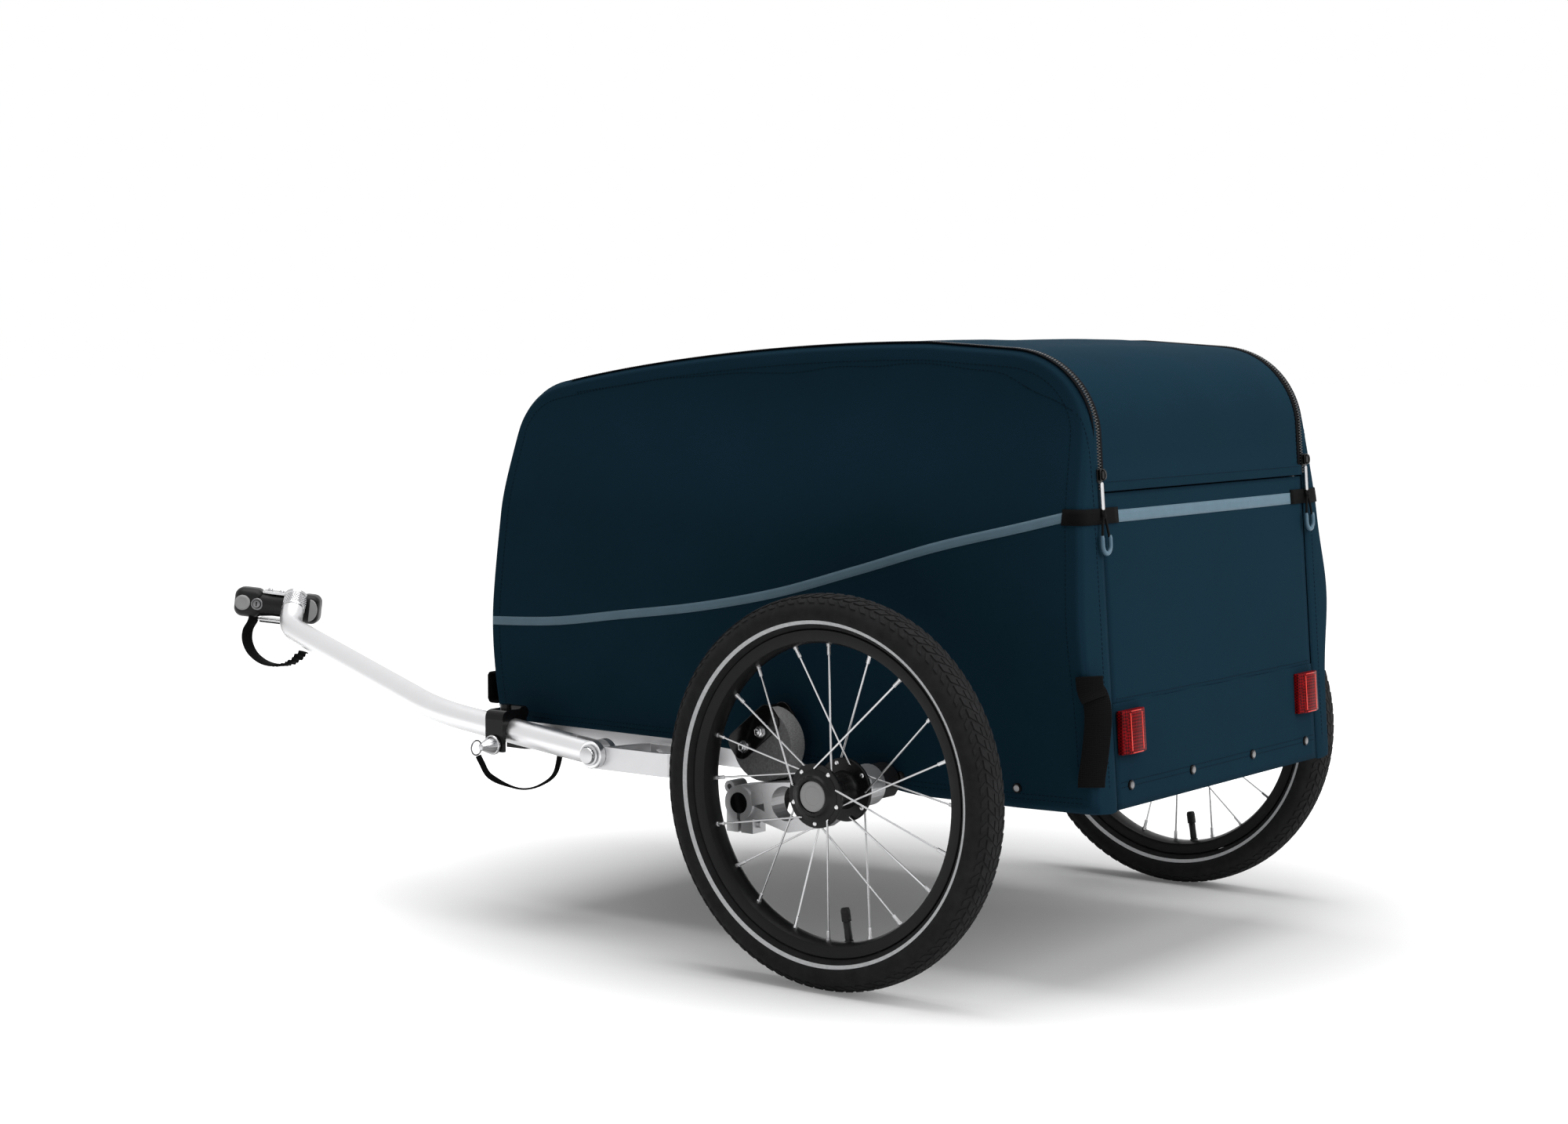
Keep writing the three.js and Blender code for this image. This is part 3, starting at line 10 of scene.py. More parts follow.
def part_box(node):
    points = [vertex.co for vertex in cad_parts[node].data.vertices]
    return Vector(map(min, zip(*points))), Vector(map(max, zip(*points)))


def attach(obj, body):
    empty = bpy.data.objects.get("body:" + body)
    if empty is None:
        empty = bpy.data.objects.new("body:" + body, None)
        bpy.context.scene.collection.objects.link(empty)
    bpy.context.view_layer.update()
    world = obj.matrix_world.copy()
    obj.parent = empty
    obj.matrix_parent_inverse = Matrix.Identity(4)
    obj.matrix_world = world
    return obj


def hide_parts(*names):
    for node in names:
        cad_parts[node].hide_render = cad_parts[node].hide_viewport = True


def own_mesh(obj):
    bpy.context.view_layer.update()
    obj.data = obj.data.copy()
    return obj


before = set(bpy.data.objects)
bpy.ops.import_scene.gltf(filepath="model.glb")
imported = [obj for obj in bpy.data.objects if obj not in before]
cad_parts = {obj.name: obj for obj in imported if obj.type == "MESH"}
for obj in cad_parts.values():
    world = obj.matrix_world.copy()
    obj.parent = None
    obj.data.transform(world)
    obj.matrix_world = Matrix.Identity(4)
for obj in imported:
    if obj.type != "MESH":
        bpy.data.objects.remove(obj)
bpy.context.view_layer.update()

MM = 0.001
SIDES = (("left", 1), ("right", -1))

# Degrees past which an edge stays sharp: on hard pieces, on swept and boxed ones, and on cloth
CRISP = 35
EASED = 50
CLOTH = 60

tyre_low, tyre_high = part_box("tyre_left")
axle_x = (tyre_low.x + tyre_high.x) / 2


def at(x, y, z):
    """A point in the trailer's millimetres, with X counted from the axle, as metres in the row frame."""
    return Vector((x * MM + axle_x, y * MM, z * MM))


# Camera, at the photograph's place

LENS = 63.9
SENSOR_WIDTH = 36
CAMERA_SPOT = (-1611, 2546, 649.9)

camera_data = bpy.data.cameras.new("camera")
camera_data.lens = LENS
camera_data.sensor_width = SENSOR_WIDTH
camera = bpy.data.objects.new("camera", camera_data)
bpy.context.scene.collection.objects.link(camera)
camera_right = Vector((-0.79633, -0.60486, 0))
camera_up = Vector((0.04936, -0.06499, 0.99666))
camera_back = camera_right.cross(camera_up)
camera_axes = Matrix((camera_right, camera_up, camera_back)).transposed().to_4x4()
camera.matrix_world = Matrix.Translation(at(*CAMERA_SPOT)) @ camera_axes
bpy.context.scene.camera = camera

# Materials


def new_material(name):
    material = bpy.data.materials.new(name)
    material.use_nodes = True
    return material, material.node_tree, material.node_tree.nodes["Principled BSDF"]


def add_node(tree, kind, settings=None, **values):
    node = tree.nodes.new(kind)
    for key, value in (settings or {}).items():
        setattr(node, key, value)
    for key, value in values.items():
        node.inputs[key.replace("_", " ")].default_value = value
    return node


def speckle(tree, source, scale, low, high, detail=3.0):
    """A noise pattern between two grey levels or two colours, and its plain strength."""
    pattern = add_node(tree, "ShaderNodeTexNoise", Scale=scale, Detail=detail, Roughness=0.6)
    ramp = add_node(tree, "ShaderNodeValToRGB")
    ramp.color_ramp.elements[0].position = 0.3
    ramp.color_ramp.elements[1].position = 0.7
    ramp.color_ramp.elements[0].color = low
    ramp.color_ramp.elements[1].color = high
    tree.links.new(source, pattern.inputs["Vector"])
    tree.links.new(pattern.outputs["Fac"], ramp.inputs["Fac"])
    return ramp.outputs["Color"], pattern.outputs["Fac"]


def multiplied(tree, first, second):
    """Two colours multiplied."""
    node = add_node(tree, "ShaderNodeMix", {"data_type": "RGBA", "blend_type": "MULTIPLY"}, Factor=1.0)
    tree.links.new(first, node.inputs[6])
    tree.links.new(second, node.inputs[7])
    return node.outputs[2]


def spread_over(tree, source, low, high):
    """A pattern that runs from nought to one, spread between two values."""
    node = add_node(tree, "ShaderNodeMapRange", To_Min=low, To_Max=high)
    tree.links.new(source, node.inputs["Value"])
    return node.outputs["Result"]


def relief(tree, shader, height, strength, depth):
    """A pattern as relief too fine to be shape, its depth in millimetres."""
    bump = add_node(tree, "ShaderNodeBump", Strength=strength, Distance=depth * MM)
    tree.links.new(height, bump.inputs["Height"])
    tree.links.new(bump.outputs["Normal"], shader.inputs["Normal"])


def set_sockets(shader, sockets):
    for key, value in (sockets or {}).items():
        shader.inputs[key].default_value = value


def grey(level):
    return (level, level, level, 1)


def shades(colour, spread):
    low = tuple(c * (1 - spread) for c in colour) + (1,)
    high = tuple(min(1, c * (1 + spread)) for c in colour) + (1,)
    return low, high


def finish(name, colour, roughness, metallic=0.0, spread=0.06, mottle=40, rough_spread=0.08, grain=900,
           grain_depth=0.02, stretch=(1, 1, 1), sockets=None):
    """A moulded, painted or metal finish: slow colour drift, uneven gloss and a fine grain."""
    material, tree, shader = new_material(name)
    coords = add_node(tree, "ShaderNodeTexCoord")
    mapping = add_node(tree, "ShaderNodeMapping", Scale=stretch)
    tree.links.new(coords.outputs["Object"], mapping.inputs["Vector"])
    base, _ = speckle(tree, coords.outputs["Object"], mottle, *shades(colour, spread))
    tree.links.new(base, shader.inputs["Base Color"])
    glossy = grey(roughness - rough_spread)
    matt = grey(roughness + rough_spread)
    gloss, _ = speckle(tree, mapping.outputs["Vector"], mottle * 3, glossy, matt)
    tree.links.new(gloss, shader.inputs["Roughness"])
    _, fine = speckle(tree, mapping.outputs["Vector"], grain, grey(0), grey(1), 2.0)
    relief(tree, shader, fine, 0.35, grain_depth)
    shader.inputs["Metallic"].default_value = metallic
    set_sockets(shader, sockets)
    return material


# Spacing in metres of a wave texture's bands at a scale of one, and the scales of two noise patterns on cloth
WAVE_PITCH = 0.314
CLOTH_DRIFT = 9
CLOTH_FLECK = 1400


def woven(name, colour, pitch, depth, roughness, spread=0.10, dark=0.7, sockets=None):
    """Cloth or webbing: two crossing sets of threads on the piece's own UV map, in metres."""
    material, tree, shader = new_material(name)
    coords = add_node(tree, "ShaderNodeTexCoord")
    weave = add_node(tree, "ShaderNodeMath", {"operation": "MULTIPLY"})
    for index, direction in enumerate(("X", "Y")):
        threads = add_node(tree, "ShaderNodeTexWave", {"wave_type": "BANDS", "bands_direction": direction},
                           Scale=WAVE_PITCH / (pitch * MM), Distortion=0.6, Detail=1.0)
        tree.links.new(coords.outputs["UV"], threads.inputs["Vector"])
        tree.links.new(threads.outputs["Fac"], weave.inputs[index])
    drift, slow = speckle(tree, coords.outputs["Object"], CLOTH_DRIFT, *shades(colour, spread))
    fleck, _ = speckle(tree, coords.outputs["Object"], CLOTH_FLECK, grey(0.86), grey(1.0), 1.0)
    shade = spread_over(tree, weave.outputs["Value"], dark, 2 - dark)
    threaded = multiplied(tree, multiplied(tree, drift, fleck), shade)
    tree.links.new(threaded, shader.inputs["Base Color"])
    gloss = spread_over(tree, slow, roughness - 0.05, min(1.0, roughness + 0.05))
    tree.links.new(gloss, shader.inputs["Roughness"])
    relief(tree, shader, weave.outputs["Value"], 0.5, depth)
    set_sockets(shader, sockets)
    return material


SOFT_GLOSS = {"Specular IOR Level": 0.06}
navy = woven("navy_polyester", (0.0075, 0.0285, 0.0470), 0.9, 0.06, 0.85, spread=0.06, dark=0.85,
             sockets={"Specular IOR Level": 0.03})
navy_thread = finish("navy_thread", (0.002, 0.008, 0.015), 0.8, sockets=SOFT_GLOSS)
stripe_band = finish("reflective_band", (0.116, 0.19, 0.241), 0.5, spread=0.05, grain=2500,
                     sockets={"Specular IOR Level": 0.15})
web_black = woven("black_webbing", (0.0060, 0.0060, 0.0062), 1.8, 0.30, 0.85, dark=0.35, sockets=SOFT_GLOSS)
elastic_black = woven("black_elastic", (0.0065, 0.0065, 0.0070), 2.2, 0.35, 0.8, dark=0.4, sockets=SOFT_GLOSS)
zip_black = finish("zip_black", (0.010, 0.010, 0.011), 0.3, sockets={"Specular IOR Level": 0.5})
tape_black = woven("zip_tape", (0.006, 0.006, 0.007), 0.8, 0.1, 0.85, sockets=SOFT_GLOSS)
plastic_black = finish("black_moulding", (0.010, 0.010, 0.011), 0.38, grain=1500, grain_depth=0.02,
                       sockets={"Specular IOR Level": 0.18})
gloss_black = finish("gloss_black_paint", (0.005, 0.005, 0.0055), 0.14, rough_spread=0.04, grain_depth=0.004,
                     sockets={"Specular IOR Level": 0.16})
satin_black = finish("satin_black_rim", (0.007, 0.007, 0.0075), 0.38, rough_spread=0.06, grain_depth=0.006,
                     sockets={"Specular IOR Level": 0.13})
hub_black = finish("hub_anodised_black", (0.008, 0.008, 0.0085), 0.3, grain_depth=0.004,
                   sockets={"Specular IOR Level": 0.16})
tyre_black = finish("tyre_rubber", (0.019, 0.019, 0.020), 0.8, spread=0.2, mottle=60, grain=700,
                    grain_depth=0.08, sockets={"Specular IOR Level": 0.08})
tyre_stripe = finish("tyre_reflective_stripe", (0.62, 0.63, 0.64), 0.5, spread=0.10, mottle=300)
silver_tube = finish("satin_anodised_tube", (0.72, 0.72, 0.73), 0.32, metallic=1.0, spread=0.01,
                     rough_spread=0.03, grain=1600, grain_depth=0.003)
silver_frame = finish("brushed_extrusion", (0.53, 0.53, 0.54), 0.36, metallic=1.0, spread=0.02,
                      rough_spread=0.04, stretch=(1, 1, 12), grain=900, grain_depth=0.006)
sawn_arm = finish("blasted_arm_plate", (0.52, 0.52, 0.53), 0.45, metallic=1.0, spread=0.05, mottle=900,
                  grain=1400, grain_depth=0.02)
bright_steel = finish("bright_steel", (0.50, 0.50, 0.51), 0.22, metallic=1.0, spread=0.02, rough_spread=0.04,
                      grain_depth=0.003)
spoke_steel = finish("spoke_steel", (0.55, 0.55, 0.56), 0.3, metallic=1.0, spread=0.02, rough_spread=0.04,
                     grain_depth=0.003)
stud_nickel = finish("smoked_nickel", (0.16, 0.16, 0.165), 0.3, metallic=1.0, spread=0.02, rough_spread=0.04,
                     grain_depth=0.003)
button_grey = finish("grey_button", (0.42, 0.42, 0.42), 0.5, spread=0.02, grain=1800,
                     sockets={"Specular IOR Level": 0.2})
felt_grey = finish("felt_elastomer", (0.165, 0.165, 0.168), 0.95, spread=0.22, mottle=500, grain=500,
                   grain_depth=0.3, sockets={"Specular IOR Level": 0.05})
felt_rim = finish("felt_elastomer_rim", (0.21, 0.21, 0.21), 0.95, spread=0.45, mottle=900, stretch=(1, 12, 1),
                  grain=260, grain_depth=0.5, sockets={"Specular IOR Level": 0.05})
hook_tape = finish("hook_tape", (0.36, 0.36, 0.36), 0.8, spread=0.5, mottle=1500, grain_depth=0.3,
                   sockets=SOFT_GLOSS)
grip_blue = finish("grip_blue_grey", (0.075, 0.145, 0.20), 0.4, sockets={"Specular IOR Level": 0.35})
cord_black = finish("cord_black", (0.008, 0.008, 0.008), 0.85, grain=900, grain_depth=0.2, sockets=SOFT_GLOSS)
floor_black = finish("floor_sheet", (0.02, 0.02, 0.021), 0.7, grain=300, grain_depth=0.2, sockets=SOFT_GLOSS)


def reflector_material():
    """Red lens: rows of small prisms seen through a clear glossy skin."""
    material, tree, shader = new_material("red_lens")
    coords = add_node(tree, "ShaderNodeTexCoord")
    turned = add_node(tree, "ShaderNodeMapping", Rotation=(math.radians(45), 0, 0))
    tree.links.new(coords.outputs["Object"], turned.inputs["Vector"])
    prisms = add_node(tree, "ShaderNodeTexChecker", Scale=450, Color1=(0.27, 0.003, 0.006, 1),
                      Color2=(0.05, 0.001, 0.002, 1))
    tree.links.new(turned.outputs["Vector"], prisms.inputs["Vector"])
    drift, level = speckle(tree, coords.outputs["Object"], 90, grey(0.6), grey(1.0))
    tree.links.new(multiplied(tree, prisms.outputs["Color"], drift), shader.inputs["Base Color"])
    relief(tree, shader, prisms.outputs["Fac"], 0.4, 0.3)
    tree.links.new(spread_over(tree, level, 0.34, 0.46), shader.inputs["Roughness"])
    set_sockets(shader, {"Specular IOR Level": 0.05})
    return material


lens_red = reflector_material()
# Bright red for the thin ridges and rims round the lens's face: a painted highlight along the edges where
# they catch the light
lens_painted_highlight = finish("red_lens_painted_highlight", (0.80, 0.035, 0.020), 0.25, spread=0.25, mottle=700,
                     sockets={"Specular IOR Level": 0.3})

# Meshes


def put(name, mesh, material):
    item = bpy.data.objects.new(name, mesh)
    bpy.context.scene.collection.objects.link(item)
    if not mesh.materials:
        mesh.materials.append(material)
    return item


def smooth(item, angle=CRISP):
    item.data.polygons.foreach_set("use_smooth", [True] * len(item.data.polygons))
    item.data.set_sharp_from_angle(angle=math.radians(angle))
    return item


def from_bmesh(name, bm, material, angle=CRISP):
    mesh = bpy.data.meshes.new(name)
    bm.to_mesh(mesh)
    bm.free()
    return smooth(put(name, mesh, material), angle)


def closed_piece(name, points, faces, material, angle=CRISP):
    """A closed shape: doubles merged and every face turned outwards."""
    bm = bmesh.new()
    vertices = [bm.verts.new(p) for p in points]
    for face in faces:
        corners = [vertices[i] for i in face]
        if len(set(corners)) > 2:
            bm.faces.new(corners)
    bmesh.ops.remove_doubles(bm, verts=bm.verts[:], dist=1e-6)
    bmesh.ops.recalc_face_normals(bm, faces=bm.faces[:])
    return from_bmesh(name, bm, material, angle)


def sheet_piece(name, points, faces, material, way):
    """An open sheet whose faces look, on the whole, along the given way."""
    mesh = bpy.data.meshes.new(name)
    mesh.from_pydata([tuple(p) for p in points], [], faces)
    outwards = sum((p.normal * p.area for p in mesh.polygons), Vector())
    if outwards.dot(Vector(way)) < 0:
        mesh.flip_normals()
    return smooth(put(name, mesh, material), CLOTH)


def grid_faces(rows, columns, wrap_rows=False, wrap_columns=False):
    faces = []
    for r in range(rows if wrap_rows else rows - 1):
        for c in range(columns if wrap_columns else columns - 1):
            r1 = (r + 1) % rows
            c1 = (c + 1) % columns
            faces.append((r * columns + c, r * columns + c1, r1 * columns + c1, r1 * columns + c))
    return faces


def turned_piece(name, profile, centre, axis, material, segments=64, closed=False, angle=CRISP):
    """A profile of (radius, height) in millimetres turned about an axis through centre."""
    axis = Vector(axis).normalized()
    side = axis.orthogonal().normalized()
    other = axis.cross(side)
    points = []
    for radius, height in profile:
        for i in range(segments):
            turn = 2 * math.pi * i / segments
            out = (side * math.cos(turn) + other * math.sin(turn)) * radius * MM
            points.append(centre + axis * height * MM + out)
    faces = grid_faces(len(profile), segments, closed, True)
    if not closed:
        faces.append(tuple(range(segments)))
        last = (len(profile) - 1) * segments
        faces.append(tuple(range(last, last + segments)))
    return closed_piece(name, points, faces, material, angle)


def reaches(points):
    """How far along a line each of its points lies."""
    reach = [0.0]
    for a, b in zip(points, points[1:]):
        reach.append(reach[-1] + (b - a).length)
    return reach


def run_length(points):
    return reaches(points)[-1]


def evenly(points, count):
    """An even run of points along a line of straight stretches."""
    reach = reaches(points)
    result = []
    k = 0
    for i in range(count):
        goal = reach[-1] * i / (count - 1)
        while k < len(points) - 2 and reach[k + 1] < goal:
            k += 1
        span = reach[k + 1] - reach[k]
        result.append(points[k].lerp(points[k + 1], (goal - reach[k]) / span if span else 0))
    return result


def through(points, count):
    """An even run of points on a smooth line through the given ones."""
    points = [Vector(p) for p in points]
    fine = []
    for i in range(len(points) - 1):
        before = points[max(i - 1, 0)]
        after = points[min(i + 2, len(points) - 1)]
        start, end = points[i], points[i + 1]
        first = start + (end - before) / 6
        second = end - (after - start) / 6
        piece = interpolate_bezier(start, first, second, end, 13)
        fine.extend(piece if not fine else piece[1:])
    return evenly(fine, count)


def frames_along(points, across=None, closed=False):
    """Two directions square to the path at each of its points."""
    count = len(points)
    frames = []
    side = None
    for i in range(count):
        before = points[(i - 1) % count] if closed else points[max(i - 1, 0)]
        after = points[(i + 1) % count] if closed else points[min(i + 1, count - 1)]
        along = (after - before).normalized()
        if across is not None:
            hint = Vector(across[i]) if isinstance(across, list) else Vector(across)
        else:
            hint = side if side else along.orthogonal()
        side = (hint - along * hint.dot(along)).normalized()
        frames.append((side, along.cross(side)))
    return frames


def strap_map(item, path):
    """A UV map in metres along and round the piece, for its weave."""
    layer = item.data.uv_layers.new(name="weave")
    reach = reaches(path)
    for loop in item.data.loops:
        point = item.data.vertices[loop.vertex_index].co
        nearest = min(range(len(path)), key=lambda i: (path[i] - point).length_squared)
        layer.data[loop.index].uv = (reach[nearest], point.x + point.y)


def skinned(name, rings, material, closed=False):
    """A skin over rings of points along a path, with its ends closed unless the path is."""
    width = len(rings[0])
    points = [p for ring in rings for p in ring]
    faces = grid_faces(len(rings), width, closed, True)
    if not closed:
        faces.append(tuple(range(width)))
        faces.append(tuple(range(len(points) - width, len(points))))
    return closed_piece(name, points, faces, material, EASED)


def swept_piece(name, path, section, material, across=None, closed=False, scales=None):
    """A section of (sideways, upwards) metres carried along a path."""
    rings = []
    for i, (centre, (side, up)) in enumerate(zip(path, frames_along(path, across, closed))):
        size = scales[i] if scales else 1
        rings.append([centre + side * a * size + up * b * size for a, b in section])
    item = skinned(name, rings, material, closed)
    strap_map(item, path)
    return item


def round_section(radius, sides=16):
    turns = [2 * math.pi * i / sides for i in range(sides)]
    return [(radius * math.cos(turn), radius * math.sin(turn)) for turn in turns]


def flat_section(width, thickness):
    """A strap's section with rounded edges."""
    a = width / 2
    b = thickness / 2
    r = b * 0.8
    return [(-a, -b + r), (-a + r, -b), (0, -b), (a - r, -b), (a, -b + r),
            (a, b - r), (a - r, b), (0, b), (-a + r, b), (-a, b - r)]


def rounded_box(name, low, high, radius, place, material, segments):
    """A box between two corners in millimetres, its edges rounded, set in place by a matrix."""
    bm = bmesh.new()
    bmesh.ops.create_cube(bm, size=1)
    low = Vector(low) * MM
    high = Vector(high) * MM
    size = high - low
    bm.transform(Matrix.Translation((low + high) / 2) @ Matrix.Diagonal((*size, 1)))
    bmesh.ops.bevel(bm, geom=bm.edges[:], offset=radius * MM, segments=segments, profile=0.5, affect="EDGES")
    bm.transform(place)
    bmesh.ops.recalc_face_normals(bm, faces=bm.faces[:])
    return from_bmesh(name, bm, material, EASED)


def plate_piece(name, outline, depth, place, material, edge=0.6, segments=2):
    """A flat outline in millimetres on the place's XY plane, given a depth along its Z and softened edges."""
    bm = bmesh.new()
    face = bm.faces.new([bm.verts.new(Vector((a, b, 0)) * MM) for a, b in outline])
    made = bmesh.ops.extrude_face_region(bm, geom=[face])
    lifted = [v for v in made["geom"] if isinstance(v, bmesh.types.BMVert)]
    bmesh.ops.translate(bm, verts=lifted, vec=Vector((0, 0, depth * MM)))
    if edge:
        rims = [e for e in bm.edges if e.is_manifold and e.calc_face_angle(0) > math.radians(EASED)]
        bmesh.ops.bevel(bm, geom=rims, offset=edge * MM, segments=segments, profile=0.5, affect="EDGES")
    bm.transform(place)
    bmesh.ops.recalc_face_normals(bm, faces=bm.faces[:])
    return from_bmesh(name, bm, material)


CORNER_STEPS = 6


def rounded_outline(a0, a1, b0, b1, radius):
    """A rectangle in millimetres with round corners."""
    points = []
    corners = ((a1 - radius, b0 + radius, -90), (a1 - radius, b1 - radius, 0),
               (a0 + radius, b1 - radius, 90), (a0 + radius, b0 + radius, 180))
    for a, b, start in corners:
        for i in range(CORNER_STEPS + 1):
            turn = math.radians(start + 90 * i / CORNER_STEPS)
            points.append((a + radius * math.cos(turn), b + radius * math.sin(turn)))
    return points


def hexagon(radius):
    turns = [math.radians(60 * i) for i in range(6)]
    return [(radius * math.cos(turn), radius * math.sin(turn)) for turn in turns]


def joined(name, items):
    """Several pieces made one, each keeping its own finish."""
    bm = bmesh.new()
    materials = []
    for item in items:
        shift = []
        for material in item.data.materials:
            if material not in materials:
                materials.append(material)
            shift.append(materials.index(material))
        first = len(bm.faces)
        bm.from_mesh(item.data)
        bm.faces.ensure_lookup_table()
        for face in bm.faces[first:]:
            face.material_index = shift[face.material_index]
    mesh = bpy.data.meshes.new(name)
    bm.to_mesh(mesh)
    bm.free()
    for item in items:
        bpy.data.objects.remove(item)
    for material in materials:
        mesh.materials.append(material)
    return put(name, mesh, materials[0])


def baked(item):
    """The piece as its modifiers leave it, as a plain mesh."""
    bpy.context.view_layer.update()
    shaped = bpy.data.meshes.new_from_object(item.evaluated_get(bpy.context.evaluated_depsgraph_get()))
    item.modifiers.clear()
    item.data = shaped
    return item


def cut(item, tool, operation="DIFFERENCE"):
    """Takes a tool's shape out of the item, or adds it, for good."""
    modifier = item.modifiers.new("cut", "BOOLEAN")
    modifier.operation = operation
    modifier.object = tool
    modifier.solver = "EXACT"
    baked(item)
    bpy.data.objects.remove(tool)


def solidify(item, thickness):
    wall = item.modifiers.new("thickness", "SOLIDIFY")
    wall.thickness = thickness * MM
    wall.offset = -1
    return item


def ride(item, body, slot, *nodes):
    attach(item, body)
    if nodes:
        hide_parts(*nodes)
    return item


# Copies of a small item, one on each point of a mesh, turned as the point's own attribute says


def copies_tree():
    tree = bpy.data.node_groups.new("copies_on_points", "GeometryNodeTree")
    tree.interface.new_socket("Geometry", in_out="INPUT", socket_type="NodeSocketGeometry")
    tree.interface.new_socket("Item", in_out="INPUT", socket_type="NodeSocketObject")
    size = tree.interface.new_socket("Size", in_out="INPUT", socket_type="NodeSocketFloat")
    size.default_value = 1.0
    tree.interface.new_socket("Material", in_out="INPUT", socket_type="NodeSocketMaterial")
    tree.interface.new_socket("Geometry", in_out="OUTPUT", socket_type="NodeSocketGeometry")
    source = tree.nodes.new("NodeGroupInput")
    result = tree.nodes.new("NodeGroupOutput")
    item = tree.nodes.new("GeometryNodeObjectInfo")
    turn = tree.nodes.new("GeometryNodeInputNamedAttribute")
    turn.data_type = "FLOAT_VECTOR"
    turn.inputs["Name"].default_value = "turn"
    on_points = tree.nodes.new("GeometryNodeInstanceOnPoints")
    real = tree.nodes.new("GeometryNodeRealizeInstances")
    dress = tree.nodes.new("GeometryNodeSetMaterial")
    links = tree.links
    links.new(source.outputs["Item"], item.inputs["Object"])
    links.new(source.outputs["Geometry"], on_points.inputs["Points"])
    links.new(item.outputs["Geometry"], on_points.inputs["Instance"])
    links.new(turn.outputs["Attribute"], on_points.inputs["Rotation"])
    links.new(source.outputs["Size"], on_points.inputs["Scale"])
    links.new(on_points.outputs["Instances"], real.inputs["Geometry"])
    links.new(real.outputs["Geometry"], dress.inputs["Geometry"])
    links.new(source.outputs["Material"], dress.inputs["Material"])
    links.new(dress.outputs["Geometry"], result.inputs["Geometry"])
    return tree


COPIES = copies_tree()


def copies(name, item, places, material):
    """places are matrices: the item, made round the origin at its own size, is repeated at each."""
    mesh = bpy.data.meshes.new(name)
    mesh.from_pydata([tuple(m.to_translation()) for m in places], [], [])
    turns = mesh.attributes.new("turn", "FLOAT_VECTOR", "POINT")
    for i, m in enumerate(places):
        turns.data[i].vector = tuple(m.to_euler("XYZ"))
    holder = put(name, mesh, material)
    modifier = holder.modifiers.new("copies", "NODES")
    modifier.node_group = COPIES
    values = {"Item": item, "Size": 1.0, "Material": material}
    for socket in COPIES.interface.items_tree:
        if socket.in_out == "INPUT" and socket.name in values:
            modifier[socket.identifier] = values[socket.name]
    baked(holder)
    bpy.data.objects.remove(item)
    return smooth(holder)


def facing(point, along, out):
    """A matrix at a point with X along the path and Z out of the surface."""
    along = along.normalized()
    side = out.cross(along).normalized()
    up = along.cross(side)
    return Matrix.Translation(point) @ Matrix((along, side, up)).transposed().to_4x4()


# Outline of the load box, in the trailer's millimetres

BODY = {"length": 809, "height": 452, "rear": -256, "hem": 189, "half_width": 252, "crown": 12, "edge": 9,
        "lid_half": 213, "lean": 26, "lean_start": 450, "lean_end": 600}
LID_HEM = 497

# Places on it, as shares of its length and height
REAR_HEM_SHARE = (0.0115, -0.004)
REAR_CORNER_SHARE = (0.0457, 0.814)
ROOF_REAR_SHARE = (0.157, 0.986)
ROOF_CROWN_SHARE = (0.283, 1)
ROOF_FRONT_SHARE = (0.881, 0.903)
FRONT_CORNER_SHARE = (0.964, 0.794)
FRONT_BELLY_SHARE = (0.997, 0.33)
FRONT_HEM_SHARE = (0.981, 0.053)
SIDE_HEM_SHARES = ((0.65, 0.05), (0.46, 0.03), (0.28, -0.008), (0.13, -0.008))


def on_body(share):
    return Vector((BODY["rear"] + share[0] * BODY["length"], BODY["hem"] + share[1] * BODY["height"], 0))


def box_curve(start, controls, end, steps):
    """Points of a curve with one or two control shares; the first point is left to the run before it."""
    a, d = on_body(start), on_body(end)
    if len(controls) == 1:
        middle = on_body(controls[0])
        b = a + (middle - a) * 2 / 3
        c = d + (middle - d) * 2 / 3
    else:
        b, c = (on_body(share) for share in controls)
    return interpolate_bezier(a, b, c, d, steps + 1)[1:]


def over_body():
    """The outline from the rear hem up over the roof and down to the front hem."""
    points = [on_body(REAR_HEM_SHARE).lerp(on_body(REAR_CORNER_SHARE), i / 16) for i in range(17)]
    points += box_curve(REAR_CORNER_SHARE, ((0.052, 0.892), (0.09, 0.978)), ROOF_REAR_SHARE, 14)
    points += [on_body(ROOF_REAR_SHARE).lerp(on_body(ROOF_CROWN_SHARE), i / 5) for i in range(1, 6)]
    points += box_curve(ROOF_CROWN_SHARE, ((0.49, 1), (0.724, 0.958)), ROOF_FRONT_SHARE, 20)
    points += box_curve(ROOF_FRONT_SHARE, ((0.947, 0.887),), FRONT_CORNER_SHARE, 14)
    points += box_curve(FRONT_CORNER_SHARE, ((0.974, 0.62), (0.992, 0.46)), FRONT_BELLY_SHARE, 12)
    points += box_curve(FRONT_BELLY_SHARE, ((0.999, 0.24), (0.992, 0.15)), FRONT_HEM_SHARE, 10)
    return points


def lean_at(z):
    """How far the sides lean in at a height, up near the roof."""
    t = min(1, max(0, (z - BODY["lean_start"]) / (BODY["lean_end"] - BODY["lean_start"])))
    return BODY["lean"] * t * t * (3 - 2 * t)


OUTLINE = over_body()
rear_bottom = on_body(REAR_HEM_SHARE)
rear_top = on_body(REAR_CORNER_SHARE)
rear_slope = math.atan2(rear_top.x - rear_bottom.x, rear_top.y - rear_bottom.y)


def rear_x(z):
    return rear_bottom.x + (z - rear_bottom.y) * math.tan(rear_slope)


def rear_frame(y, z):
    """A matrix on the rear's plane: Z up along its slope and X to the front."""
    return Matrix.Translation(at(rear_x(z), y, z)) @ Matrix.Rotation(rear_slope, 4, "Y")


